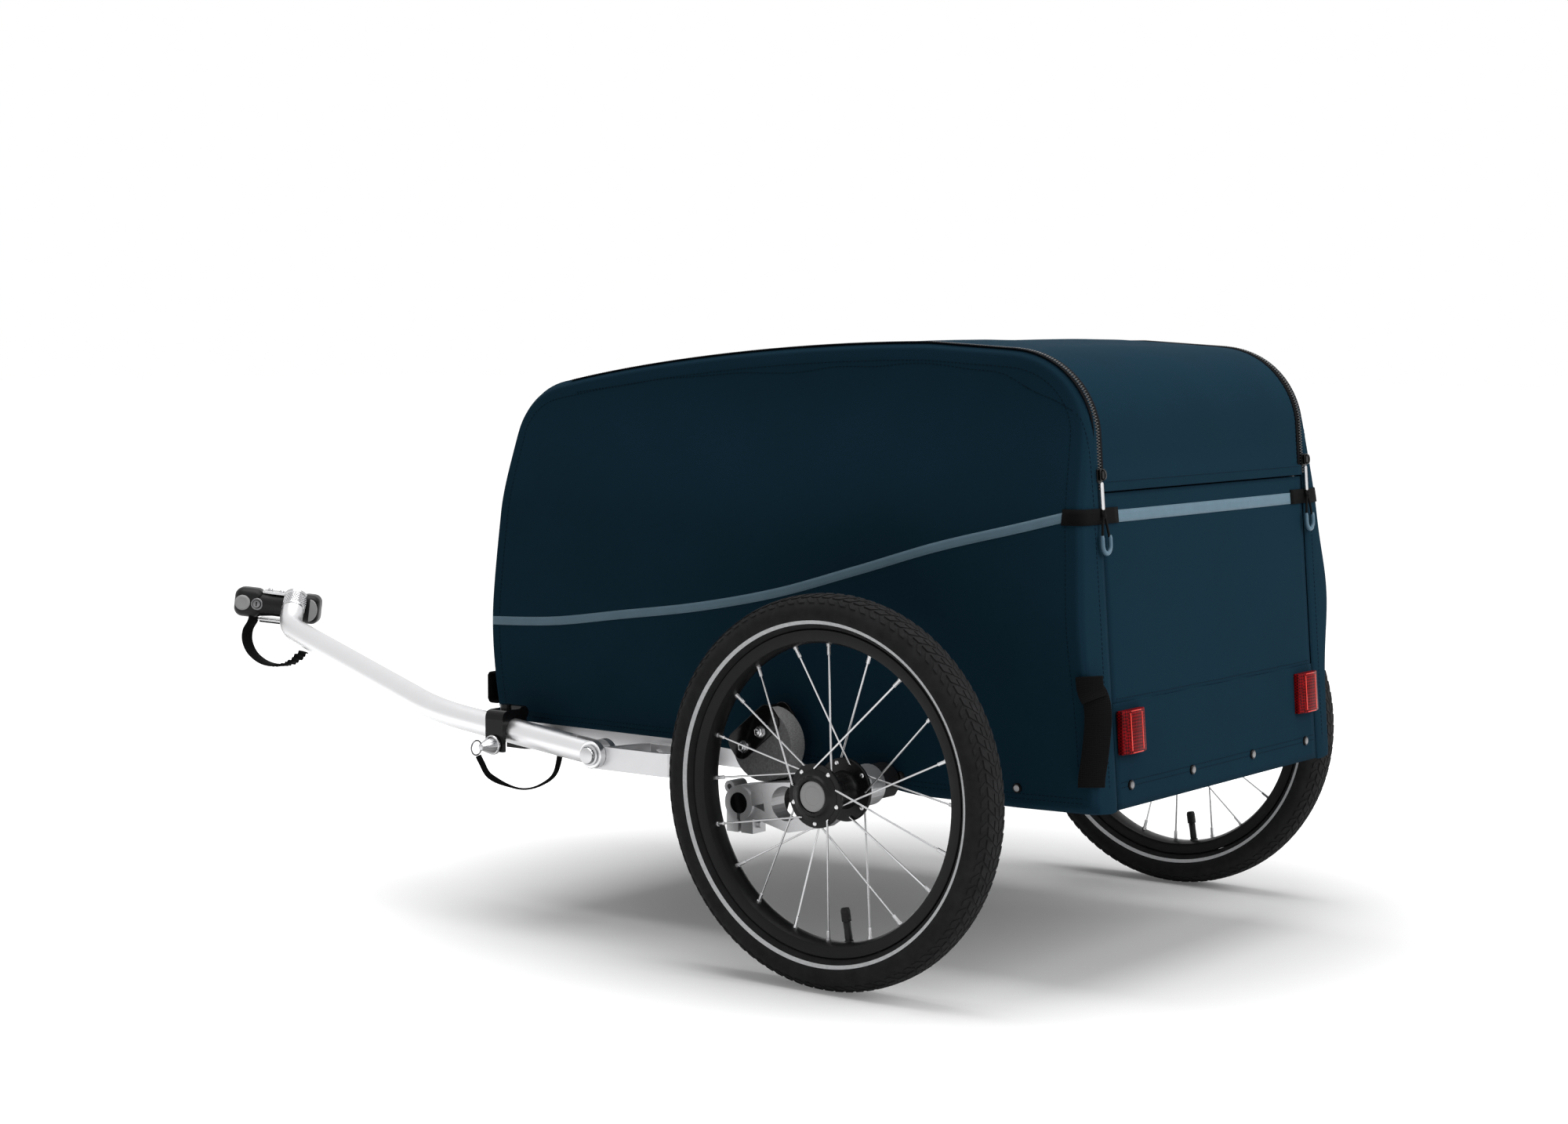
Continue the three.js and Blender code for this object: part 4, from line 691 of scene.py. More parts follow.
def inset(points, distance, closed):
    """Points moved inwards, square to their line, which runs clockwise seen from the left."""
    moved = []
    count = len(points)
    for i, p in enumerate(points):
        before = points[(i - 1) % count] if closed else points[max(i - 1, 0)]
        after = points[(i + 1) % count] if closed else points[min(i + 1, count - 1)]
        along = (after - before).normalized()
        moved.append(Vector((p.x + along.y * distance, p.y - along.x * distance, 0)))
    return moved


def softened(points, rounds):
    """A closed line with its corners rounded off a little more in each round."""
    for _ in range(rounds):
        points = [(points[i - 1] + p * 2 + points[(i + 1) % len(points)]) / 4 for i, p in enumerate(points)]
    return points


def ripple(x, y, z, size, scale):
    return size * noise.noise(Vector((x, y, z)) * scale)


# Fabric cover: the side panels

OVER_STEPS = 230
HEM_STEPS = 74
EDGE_STEPS = 6
SEAM_GROOVE = 0.7
ZIP_EDGE = 0.6
HEM_TURN = 16
CORNER_SWELL = {"left": 9, "right": 17, "height": 368, "reach": 110, "spread": 62}
# Shares of the way from the zip to the corner, each with its inset in millimetres
STRIP_SHARES = ((0, -0.9), (0.16, -1.6), (0.34, -2.1), (0.67, -1.3), (1, 0))
FACE_RING_SHARES = (0.945, 0.92, 0.88, 0.82, 0.74, 0.65, 0.55, 0.44, 0.33, 0.22, 0.12, 0.04)
SEAM_SHARE = 0.96


def side_outline():
    """The closed outline of a side: up the rear, over the roof, down the front and back along the hem."""
    hem = [OUTLINE[-1]] + [on_body(share) for share in SIDE_HEM_SHARES] + [OUTLINE[0]]
    return evenly(OUTLINE, OVER_STEPS) + evenly(hem, HEM_STEPS)[1:-1]


def side_rings(name, side):
    """Rings of (x, y, z) from the zip inwards: the strip, the rounded corner and the side's face."""
    loop = side_outline()
    face = BODY["half_width"]
    edge = BODY["edge"]
    rings = []

    def swelling(p):
        near = math.exp(-(((p.x - BODY["rear"]) / CORNER_SWELL["reach"]) ** 2))
        level = math.exp(-(((p.y - CORNER_SWELL["height"]) / CORNER_SWELL["spread"]) ** 2))
        return CORNER_SWELL[name] * near * level

    def ring(points, y_of, wave):
        row = []
        for i, p in enumerate(points):
            slow = ripple(p.x, side * 300, p.y, 2.6 * wave, 0.006)
            quick = ripple(p.x, side * 90, p.y, 1.0 * wave, 0.018)
            row.append((p.x, y_of(i, p) + (slow + quick), p.y))
        rings.append(row)

    inner = [BODY["lid_half"] + ZIP_EDGE if i < OVER_STEPS else face - HEM_TURN for i in range(len(loop))]
    outer = [face - edge - lean_at(p.y) + swelling(p) for p in loop]
    for share, depth in STRIP_SHARES:
        ring(inset(loop, depth, True), lambda i, p: inner[i] + (outer[i] - inner[i]) * share, 0)
    for step in range(1, EDGE_STEPS + 1):
        turn = math.radians(90 * step / EDGE_STEPS)
        groove = SEAM_GROOVE if step in (2, 3) else 0
        moved = softened(inset(loop, edge * (1 - math.cos(turn)) + groove, True), step)
        ring(moved, lambda i, p: face - edge - lean_at(p.y) + edge * math.sin(turn) + swelling(p), 0)
    centre = Vector((BODY["rear"] + BODY["length"] / 2, BODY["hem"] + BODY["height"] / 2, 0))
    for size in FACE_RING_SHARES:
        moved = softened([(p - centre) * size + centre for p in loop], EDGE_STEPS + 1)
        rise = BODY["crown"] * (1 - size ** 2)
        wave = min(1, (SEAM_SHARE - size) * 6)
        ring(moved, lambda i, p: face - lean_at(p.y) + swelling(p) + rise, wave)
    return rings


def side_panel(name, side):
    """The side's face, its rounded corner and the strip that runs on to the zip."""
    rings = side_rings(name, side)
    count = len(rings[0])
    points = [at(x, side * y, z) for row in rings for x, y, z in row]
    faces = grid_faces(len(rings), count, False, True)
    last = (len(rings) - 1) * count
    points.append(sum((points[last + i] for i in range(count)), Vector()) / count)
    faces += [(last + i, last + (i + 1) % count, len(points) - 1) for i in range(count)]
    item = sheet_piece(f"fabric_side_{name}", points, faces, navy, (0, side, 0))
    mesh = item.data
    layer = mesh.uv_layers.new(name="weave")
    for polygon in mesh.polygons:
        flat_side = abs(polygon.normal.y) > 0.7
        steep = abs(polygon.normal.x) > abs(polygon.normal.z)
        for index in polygon.loop_indices:
            p = mesh.vertices[mesh.loops[index].vertex_index].co
            if flat_side:
                layer.data[index].uv = (p.x, p.z)
            else:
                layer.data[index].uv = (p.z if steep else p.x, p.y)
    return item


# Fabric cover: the panels across the trailer, between the zips

PANEL_COLUMNS = 44
CALM_ROWS = 5


def across_panel(name, points, half, lift, way, bow):
    """Rows follow the outline and columns run across; lift gives what stands proud, row by row."""
    count = len(points)
    spots = []
    for r, p in enumerate(points):
        along = (points[min(r + 1, count - 1)] - points[max(r - 1, 0)]).normalized()
        out = Vector((-along.y, along.x, 0))
        calm = min(1, r / CALM_ROWS, (count - 1 - r) / CALM_ROWS)
        for c in range(PANEL_COLUMNS + 1):
            t = 2 * c / PANEL_COLUMNS - 1
            y = half * t
            swell = bow * (1 - t ** 4) * math.sin(math.pi * r / (count - 1)) + lift(r, t)
            soft = ripple(p.x, y, p.y, 1.5, 0.009) * (1 - t ** 6) * calm
            q = p + out * (swell + soft)
            spots.append(at(q.x, y, q.y))
    item = sheet_piece(name, spots, grid_faces(count, PANEL_COLUMNS + 1), navy, way)
    reach = reaches(points)
    layer = item.data.uv_layers.new(name="weave")
    for loop in item.data.loops:
        row = loop.vertex_index // (PANEL_COLUMNS + 1)
        layer.data[loop.index].uv = (reach[row] * MM, item.data.vertices[loop.vertex_index].co.y)
    return item


def first_above(z):
    """The index of the outline's first point above a height, going up the rear."""
    return next(i for i, p in enumerate(OUTLINE) if p.y > z)


def nearest_to(share):
    """The index of the outline's point nearest a place on the box."""
    goal = on_body(share)
    return min(range(len(OUTLINE)), key=lambda i: (OUTLINE[i] - goal).length)


# Heights of the lid's first rows over its hem, and of the rear panel's rows, closer at a fold or seam
LID_HEM_RISES = (0, 1, 8, 10, 12)
REAR_ROWS = (187.2, 195, 204, 212, 222, 236, 252, 268, 282, 289, 290.5, 291, 291.5, 294, 304, 320, 340,
             360, 382, 404, 424, 442, 456, 466, 474, 480, 486, 491, 495.6)
SEAM_ROW = 10
HEM_ROWS = 4
HEM_FOLD = 2.4
LID_REST = 0.2
LID_TUCK = -0.3
SEAM_FOLD = 0.9
SEAM_TUCK = -0.2

roof_end = nearest_to(ROOF_FRONT_SHARE)
half_lid = BODY["lid_half"] - 0.9
half_panel = half_lid + 0.4
lid_points = [Vector((rear_x(LID_HEM + rise), LID_HEM + rise, 0)) for rise in LID_HEM_RISES]
lid_points += OUTLINE[first_above(LID_HEM + 14):roof_end + 1]
front_points = [OUTLINE[roof_end].lerp(OUTLINE[roof_end + 1], 0.1)] + OUTLINE[roof_end + 1:]
rear_points = [Vector((rear_x(z), z, 0)) for z in REAR_ROWS]


def lid_lift(r, t):
    """The lid's hem is folded over, and its front edge tucks in before the seam."""
    if r == len(lid_points) - 1:
        return LID_TUCK
    return HEM_FOLD if r < HEM_ROWS else LID_REST


def rear_lift(r, t):
    """The lower part is laid over up to its seam, with small puckers above it."""
    if r <= SEAM_ROW:
        return SEAM_FOLD
    if r == SEAM_ROW + 1:
        return SEAM_TUCK
    return 0.5 * math.sin(t * 14 + 1) * math.exp(-(((r - SEAM_ROW) / 4) ** 2))


lid_fabric = across_panel("fabric_lid", lid_points, half_lid, lid_lift, (-0.4, 0, 1), 3.0)
front_fabric = across_panel("fabric_front", front_points, half_panel, lambda r, t: 0, (1, 0, 0), 5.0)
rear_fabric = across_panel("fabric_rear", rear_points, half_panel, rear_lift, (-1, 0, 0), 4.0)
side_fabric = {name: side_panel(name, side) for name, side in SIDES}


def panel(item, body, node):
    """Hangs a panel of the cover on its body in place of its CAD node, and gives it a thickness."""
    ride(item, body, "navy_fabric", node)
    solidify(item, 1.0)


# Each panel hung on its body with a thickness, in place of its CAD node
panel(lid_fabric, "lid", "lid")
panel(front_fabric, "frame", "cover_front")
panel(rear_fabric, "frame", "cover_rear")
for name, side in SIDES:
    panel(side_fabric[name], "frame", f"cover_{name}")

# Places on the fabric, found by rays that start well outside the trailer

BEHIND = -600
ABOVE = 760
BESIDE = 600


def surface_of(item):
    mesh = item.data
    return BVHTree.FromPolygons([v.co for v in mesh.vertices], [tuple(p.vertices) for p in mesh.polygons])


surfaces = {"rear": surface_of(rear_fabric), "lid": surface_of(lid_fabric)}
for name, side in SIDES:
    surfaces[name] = surface_of(side_fabric[name])


def onto(surface, start, direction, lift):
    """Where a ray meets the fabric, raised by lift millimetres, with the way out of the fabric there."""
    hit, normal, _, _ = surfaces[surface].ray_cast(start, direction)
    if hit is None:
        return None
    if normal.dot(direction) > 0:
        normal = -normal
    return hit + normal * lift * MM, normal


def on_side(name, side, x, z, lift):
    return onto(name, at(x, side * BESIDE, z), Vector((0, -side, 0)), lift)


def on_rear(surface, y, z, lift):
    return onto(surface, at(BEHIND, y, z), Vector((1, 0, 0)), lift)


def over_roof(surface, y, p, turn, lift):
    """A point of the outline on the fabric: met from above past a height, and from behind below it."""
    if p.y > turn:
        return onto(surface, at(p.x, y, ABOVE), Vector((0, 0, -1)), lift)
    return on_rear(surface, y, p.y, lift)


# Topstitching

STITCH = 4.6
ON_CLOTH = 0.15


def stitch():
    """One thread stitch round the origin, lying along X."""
    profile = [(0.02, -1.6), (0.30, -1.1), (0.30, 1.1), (0.02, 1.6)]
    return turned_piece("stitch", profile, Vector(), (1, 0, 0), navy_thread, segments=5)


def stitch_places(hits):
    places = []
    clean = [h for h in hits if h]
    for (p, out), (q, _) in zip(clean, clean[1:]):
        if 0.1 * MM < (q - p).length < 12 * MM:
            places.append(facing(p.lerp(q, 0.5), q - p, out))
    return places


def topstitch(name, body, rows):
    """Rows of stitches between points that already lie on the fabric."""
    places = [m for row in rows for m in stitch_places(row)]
    ride(copies(name, stitch(), places, navy_thread), body, "navy_fabric")


def line_of(points):
    return evenly(points, max(3, int(run_length(points) / STITCH)))


def row_across(surface, z, half):
    """A level row from one side to the other, half its length either way."""
    spots = [-half + i * STITCH for i in range(int(2 * half / STITCH) + 1)]
    return [on_rear(surface, y, z, ON_CLOTH) for y in spots]


for name, side in SIDES:
    seam = [p for p in inset(OUTLINE, 17, False) if p.y > 212]
    rows = [[on_side(name, side, p.x, p.y, ON_CLOTH) for p in line_of(seam)]]
    hem = [on_body(share) for share in ((0.97, 0.053), *SIDE_HEM_SHARES, (0.03, -0.004))]
    for rise in (10, 15):
        raised = [Vector((p.x, p.y + rise, 0)) for p in hem]
        rows.append([on_side(name, side, p.x, p.y, ON_CLOTH) for p in line_of(raised)])
    strip = [p for p in OUTLINE[:roof_end + 1] if p.y > 205]
    rows.append([over_roof(name, side * 228, p, 600, ON_CLOTH) for p in line_of(strip)])
    topstitch(f"topstitch_{name}", "frame", rows)

lid_edge = [p for p in lid_points if p.y > LID_HEM + 10]
lid_rows = [row_across("lid", LID_HEM + 9.5, 205)]
for y in (-205, 205):
    lid_rows.append([over_roof("lid", y, p, 610, ON_CLOTH) for p in line_of(lid_edge)])
topstitch("topstitch_lid", "lid", lid_rows)
topstitch("topstitch_rear", "frame", [row_across("rear", z, 209) for z in (208, 213, 295)])

# Reflective stripes

STRIPE = [(556, 327), (450, 333), (345, 347), (237, 362), (131, 383), (31, 411), (-64, 439), (-156, 461),
          (-218, 476), (-250, 480)]
STRIPE_STEPS = 150
STRIPE_SPREAD = (-4.8, -1.6, 1.6, 4.8)
REAR_STRIPE_LEVELS = (466.5, 470.5, 474.5, 478.5)
STRIPE_LIFT = 0.45


def ribbon(name, lines, thickness, material, slot, *nodes):
    """A thin band over the fabric; lines are rows of points across its width."""
    rows = [row for row in lines if all(row)]
    points = [p for row in rows for p, _ in row]
    outwards = sum((out for row in rows for _, out in row), Vector())
    item = sheet_piece(name, points, grid_faces(len(rows), len(rows[0])), material, outwards)
    ride(solidify(item, thickness), "frame", slot, *nodes)


stripe_path = through([(x, z, 0) for x, z in STRIPE], STRIPE_STEPS)
for name, side in SIDES:
    lines = []
    for i, p in enumerate(stripe_path):
        along = (stripe_path[min(i + 1, STRIPE_STEPS - 1)] - stripe_path[max(i - 1, 0)]).normalized()
        spots = [(p.x - along.y * w, p.y + along.x * w) for w in STRIPE_SPREAD]
        lines.append([on_side(name, side, x, z, STRIPE_LIFT) for x, z in spots])
    ribbon(f"stripe_{name}", lines, 0.5, stripe_band, "navy_fabric")
rear_lines = [[on_rear("rear", y, z, STRIPE_LIFT) for z in REAR_STRIPE_LEVELS] for y in range(-206, 207, 6)]
ribbon("stripe_rear", rear_lines, 0.5, stripe_band, "navy_fabric")

# Black elastic round each rear corner, between the two stripes

ELASTIC_LEVELS = (466, 471, 476, 481.5)
ELASTIC_LIFT = 1.6
CORNER_HEART = (-214, 222)


def corner_hit(name, side, turn, z, lift):
    """A point on the rear corner of the cover, seen from a centre inside it."""
    heart = at(CORNER_HEART[0], side * CORNER_HEART[1], z)
    way = Vector((-math.cos(turn), side * math.sin(turn), 0))
    return onto(name, heart + way * 0.2, -way, lift)


for name, side in SIDES:
    lines = []
    for y in (184, 192, 200, 208):
        lines.append([on_rear("rear", side * y, z, ELASTIC_LIFT) for z in ELASTIC_LEVELS])
    for step in range(15):
        turn = math.radians(-2 + 94 * step / 14)
        lines.append([corner_hit(name, side, turn, z, ELASTIC_LIFT) for z in ELASTIC_LEVELS])
    for x, lift in ((-213, 1.4), (-205, 1.2)):
        lines.append([on_side(name, side, x, z, lift) for z in ELASTIC_LEVELS])
    ribbon(f"corner_elastic_{name}", lines, 1.4, elastic_black, "black_webbing", f"corner_band_{name}")

# Zips: a tape and a row of teeth on each side of the joint

ZIP_FOOT = 500
ZIP_JOIN = 518
ZIP_STEPS = 700
TAPE_EVERY = 4
TAPE_LIFT = 1.3
TEETH_LIFT = 1.5
TOOTH_SPACING = 3.0

zip_line = [Vector((rear_x(z), z, 0)) for z in range(ZIP_FOOT, ZIP_JOIN, 4)]
zip_path = evenly(zip_line + [p for p in OUTLINE[:roof_end + 1] if p.y > ZIP_JOIN], ZIP_STEPS)
zip_outs = []
for i in range(ZIP_STEPS):
    along = (zip_path[min(i + 1, ZIP_STEPS - 1)] - zip_path[max(i - 1, 0)]).normalized()
    zip_outs.append(Vector((-along.y, along.x, 0)))


def zip_tape(name, side, edges):
    """The tape between its two edges, given as distances from the trailer's middle."""
    points = []
    for i in range(0, ZIP_STEPS, TAPE_EVERY):
        q = zip_path[i] + zip_outs[i] * TAPE_LIFT
        for y in (edges[0], (edges[0] + edges[1]) / 2, edges[1]):
            points.append(at(q.x, side * y, q.y))
    strip = sheet_piece(name, points, grid_faces(len(points) // 3, 3), tape_black, (-0.4, 0, 1))
    baked(solidify(strip, 0.4))
    layer = strip.data.uv_layers.new(name="weave")
    for loop in strip.data.loops:
        p = strip.data.vertices[loop.vertex_index].co
        layer.data[loop.index].uv = (p.x + p.z, p.y)
    return strip


def zip_teeth(name, side, middle, phase):
    """A row of moulded teeth at a distance from the trailer's middle."""
    tooth = rounded_box("tooth", (-0.7, -1.9, -0.6), (0.7, 1.9, 0.6), 0.25, Matrix(), zip_black, 1)
    length = run_length(zip_path)
    places = []
    for k in range(int(length / TOOTH_SPACING)):
        share = (k * TOOTH_SPACING + phase) / length
        i = min(ZIP_STEPS - 2, int(share * (ZIP_STEPS - 1)))
        q = zip_path[i].lerp(zip_path[i + 1], share * (ZIP_STEPS - 1) - i) + zip_outs[i] * TEETH_LIFT
        along = zip_path[i + 1] - zip_path[i]
        out = zip_outs[i]
        point = at(q.x, side * middle, q.y)
        places.append(facing(point, Vector((along.x, 0, along.y)), Vector((out.x, 0, out.y))))
    return copies(name, tooth, places, zip_black)


def zip_half(name, side, body, edges, middle, phase, *nodes):
    halves = [zip_tape(f"{name}_tape", side, edges), zip_teeth(f"{name}_teeth", side, middle, phase)]
    ride(joined(name, halves), body, "black_plastic", *nodes)


for name, side in SIDES:
    zip_half(f"zip_cover_side_{name}", side, "frame", (215.4, 220.6), 215.3, 0, f"zip_{name}")
    zip_half(f"zip_lid_side_{name}", side, "lid", (206.0, 210.9), 212.3, TOOTH_SPACING / 2)

# Zip sliders and their pulls, in millimetres on the rear's plane

SLIDER_SPOT = (216.3, 513)
BRIDGE = ((-6.8, 0, 5), (-8.8, 0, 4.6), (-9.6, 0, 1.5), (-9.4, 0, -2.0), (-8.4, 0, -3.8), (-6.8, 0, -4.2))
TAB_X = -4.9
TAB_TOP = -7.6
TAB_HOLE = TAB_TOP - 24.5
KNOT_Z = TAB_HOLE - 7
KNOT_PROFILE = [(0.2, -2.6), (1.8, -2.2), (2.7, 0), (1.8, 2.2), (0.2, 2.6)]
GRIP_Z = KNOT_Z - 28
GRIP_STEPS = 34

# A plate's X across the trailer, its Y up and its depth to the rear
FACING_REAR = Matrix(((0, 0, -1, 0), (1, 0, 0, 0), (0, 1, 0, 0), (0, 0, 0, 1)))


def slider_body(name, place):
    """Two wings on a post, with the bridge that the pull hangs from."""
    arch = through([place @ (Vector(p) * MM) for p in BRIDGE], 18)
    return joined(name, [
        rounded_box("slider_back", (-3.6, -4.5, -6.5), (-1.8, 4.5, 6.5), 0.8, place, gloss_black, 3),
        rounded_box("slider_front", (-6.9, -4.5, -5.2), (-5.1, 4.5, 6.5), 0.8, place, gloss_black, 3),
        rounded_box("slider_post", (-5.6, -1.6, 1.0), (-3.1, 1.6, 5.2), 0.5, place, gloss_black, 2),
        swept_piece("slider_bridge", arch, flat_section(3.4 * MM, 1.5 * MM), gloss_black, across=(0, 1, 0)),
    ])


def zip_pull(name, place):
    """A metal tab, two cords held by a knot, and the grip moulded on them."""
    outline = rounded_outline(-2.6, 2.6, TAB_TOP - 26, TAB_TOP + 1.2, 2.2)
    tab_place = place @ Matrix.Translation(Vector((TAB_X + 0.75, 0, 0)) * MM) @ FACING_REAR
    items = [plate_piece("tab", outline, 1.5, tab_place, sawn_arm, 0.5)]
    turns = [math.radians(a) for a in range(180, 361, 12)]
    half_round = [(math.cos(turn) * 7.3, math.sin(turn) * 8.6) for turn in turns]
    grip_run = [(-7.3, GRIP_Z + 9)] + [(y, GRIP_Z + z) for y, z in half_round] + [(7.3, GRIP_Z + 9)]
    path = through([place @ (Vector((TAB_X - 1.6, y, z)) * MM) for y, z in grip_run], GRIP_STEPS)
    ends = [0.75 + 0.25 * min(1, min(i, GRIP_STEPS - 1 - i) / 2) for i in range(GRIP_STEPS)]
    items.append(swept_piece("grip", path, round_section(2.3 * MM, 14), grip_blue, scales=ends))
    cord = [(0.8, 0, TAB_HOLE), (0.6, -1.6, KNOT_Z + 3), (-0.2, -1.2, KNOT_Z), (-0.5, -3.6, KNOT_Z - 8),
            (-1.0, -6.0, KNOT_Z - 19), (-1.3, -7.2, KNOT_Z - 28)]
    mirrored = [(x, -y, z) for x, y, z in reversed(cord)]
    for run in (cord, mirrored):
        path = through([place @ (Vector((TAB_X - 0.3 + x, y, z)) * MM) for x, y, z in run], 26)
        items.append(swept_piece("cord", path, round_section(1.25 * MM, 10), cord_black))
    knot_place = place @ (Vector((TAB_X - 0.6, 0, KNOT_Z)) * MM)
    knot_axis = place.to_3x3() @ Vector((0, 0, 1))
    items.append(turned_piece("knot", KNOT_PROFILE, knot_place, knot_axis, cord_black, 14))
    return joined(name, items)


for name, side in SIDES:
    place = rear_frame(side * SLIDER_SPOT[0], SLIDER_SPOT[1])
    slider = slider_body(f"zip_slider_body_{name}", place)
    ride(slider, f"slider_{name}", "black_paint", f"zip_slider_{name}")
    ride(zip_pull(f"zip_pull_{name}", place), f"puller_{name}", "pull_cord", f"zip_puller_{name}")

# Snap studs along the hems

STUD_SKIRT = [(3.9, 2.0), (4.6, 1.6), (5.0, 0.4), (5.0, -0.4), (0.05, -0.4), (0.05, 1.2), (3.9, 1.2)]
STUD_FACE = [(0.05, 2.2), (2.6, 2.15), (3.7, 1.9), (3.9, 1.5), (3.9, 1.0), (0.05, 1.0)]

stud_hits = [on_rear("rear", y, 209, 0.2) for y in (-187, -65, 65, 187)]
for name, side in SIDES:
    stud_hits += [on_side(name, side, x, z, 0.2) for x, z in ((-158, 206), (-18, 204))]
stud_places = [facing(p, Vector((0, 0, 1)).cross(out), out) for p, out in stud_hits]
for name, profile, material in (
        ("hem_stud_skirts", STUD_SKIRT, gloss_black), ("hem_stud_faces", STUD_FACE, stud_nickel)):
    stud = turned_piece("stud", profile, Vector(), (0, 0, 1), material, segments=28)
    ride(copies(name, stud, stud_places, material), "frame", "black_plastic")

# Inner frame

HOOP_R = 8.5
HOOP_Y = 237.2
HOOP_INSET = 20.3
HOOP_FOOT = 222.3
HOOP_FOLLOWS = 231


def hoop_path(side):
    """From a foot to the height where it follows the cover, over the roof and down to the other foot."""
    loop = [p for p in inset(OUTLINE, HOOP_INSET, False) if p.y > HOOP_FOLLOWS]
    first = Vector((rear_x(HOOP_FOOT) + HOOP_INSET, HOOP_FOOT, 0))
    last = Vector((loop[-1].x, HOOP_FOOT, 0))
    whole = evenly([first] + loop + [last], 150)
    return [at(p.x, side * (HOOP_Y - lean_at(p.y)), p.y) for p in whole]


for name, side in SIDES:
    hoop = swept_piece(f"inner_hoop_{name}", hoop_path(side), round_section(HOOP_R * MM, 20), silver_tube)
    ride(hoop, "frame", "silver_tube", f"hoop_{name}")

for node in ("crossbar_front", "crossbar_rear"):
    low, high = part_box(node)
    middle = (low + high) / 2
    reach = (high.y - low.y) / 2 / MM
    profile = [(5.5, -reach), (6.8, -reach + 1.2), (6.8, reach - 1.2), (5.5, reach)]
    bar = turned_piece(f"{node}_tube", profile, middle, (0, 1, 0), silver_tube, 28)
    ride(bar, "frame", "silver_tube", node)


def dressed(node, material, width=0.0, segments=2):
    """A CAD node that stays: its finish, and softened edges."""
    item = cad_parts[node]
    item.data.materials.clear()
    item.data.materials.append(material)
    if width:
        weld = item.modifiers.new("weld", "WELD")
        weld.merge_threshold = 0.00001
        bevel = item.modifiers.new("bevel", "BEVEL")
        bevel.width = width * MM
        bevel.segments = segments
        bevel.limit_method = "ANGLE"
        bevel.angle_limit = math.radians(40)
        bevel.use_clamp_overlap = True


dressed("base_frame", silver_frame, 1.2)
dressed("floor_board", floor_black)
dressed("pivot_tube", gloss_black, 0.6)
dressed("tow_bracket", silver_frame, 1.0, 3)
dressed("tow_yoke", gloss_black, 1.0, 3)
for name, side in SIDES:
    dressed(f"swing_arm_{name}", sawn_arm, 0.7)
    dressed(f"axle_cap_{name}", plastic_black, 1.2)
    dressed(f"axle_{name}", spoke_steel, 0.3)

# Tyres

WHEEL_Y = 349
WHEEL_R = 198
LUGS = 96
LUG_DEPTH = 1.4
LUG_SUNK = 0.6

# Half of the tyre's section, as radius and distance from its middle, from the rim to the tread
TYRE_SECTION = [(163.6, 11.4), (166.2, 15.5), (168.8, 17.7), (172.4, 19.8), (176.7, 21.5), (181, 21.8),
                (184.9, 20.9), (189, 18.6), (192.3, 15.8), (195.2, 11.6), (196.6, 7.6), (197.1, 3.5),
                (197.2, 0)]
# Rows of tread blocks: offset, radius, tilt, skew, width across and length along
TREAD_ROWS = [(3.3, 197.0, -2, 2.4, 5.6, 9.0), (10.2, 195.7, -17, 3.6, 6.6, 8.4),
              (16.4, 191.6, -42, -3.0, 5.4, 6.4)]


def radial_places(centre, count, phase=0.0):
    turns = [phase + 2 * math.pi * k / count for k in range(count)]
    return [Matrix.Translation(centre) @ Matrix.Rotation(turn, 4, "Y") for turn in turns]


def tyre_case(name, centre, side):
    """The tyre without its tread blocks, a reflective stripe on both walls."""
    half = through([(r, w, 0) for r, w in TYRE_SECTION], 38)
    profile = [(p.x, -p.y) for p in half] + [(p.x, p.y) for p in reversed(half[:-1])]
    item = turned_piece(name, profile, centre, (0, side, 0), tyre_black, 144, closed=True, angle=CLOTH)
    item.data.materials.append(tyre_stripe)
    for polygon in item.data.polygons:
        away = polygon.center - centre
        radius = math.hypot(away.x, away.z) / MM
        if 168.6 < radius < 172.6 and abs(away.y) / MM > 15:
            polygon.material_index = 1
    return item


def lug(row_offset, radius, tilt, skew, across, along):
    """A tread block above the wheel's centre, as far out as its row."""
    outline = [(-along / 2 - skew, -across / 2), (along / 2 - skew, -across / 2),
               (along / 2 + skew, across / 2), (-along / 2 + skew, across / 2)]
    spot = Matrix.Translation(Vector((0, row_offset, radius)) * MM)
    sunk = Matrix.Translation(Vector((0, 0, -LUG_SUNK)) * MM)
    place = spot @ Matrix.Rotation(math.radians(tilt), 4, "X") @ sunk
    return plate_piece("lug", outline, LUG_DEPTH, place, tyre_black, 0.25, 1)


def tread(centre):
    """Rows of blocks either side of the middle, each row set half a block on from the one across."""
    half_step = 180 / LUGS
    rows = []
    for k, (offset, radius, tilt, skew, across, along) in enumerate(TREAD_ROWS):
        for sign in (1, -1):
            item = lug(sign * offset, radius, sign * tilt, skew * sign, across, along)
            phase = math.radians(half_step * (k + (0.5 if sign < 0 else 0)))
            rows.append(copies("tread_row", item, radial_places(centre, LUGS, phase), tyre_black))
    return rows


# Rims, spokes and hubs

HOLES = 10
HOLE_STEP = 2 * math.pi / HOLES
HOLE_R = 27.5
FLANGE_Y = 24
NIPPLE_R = 150

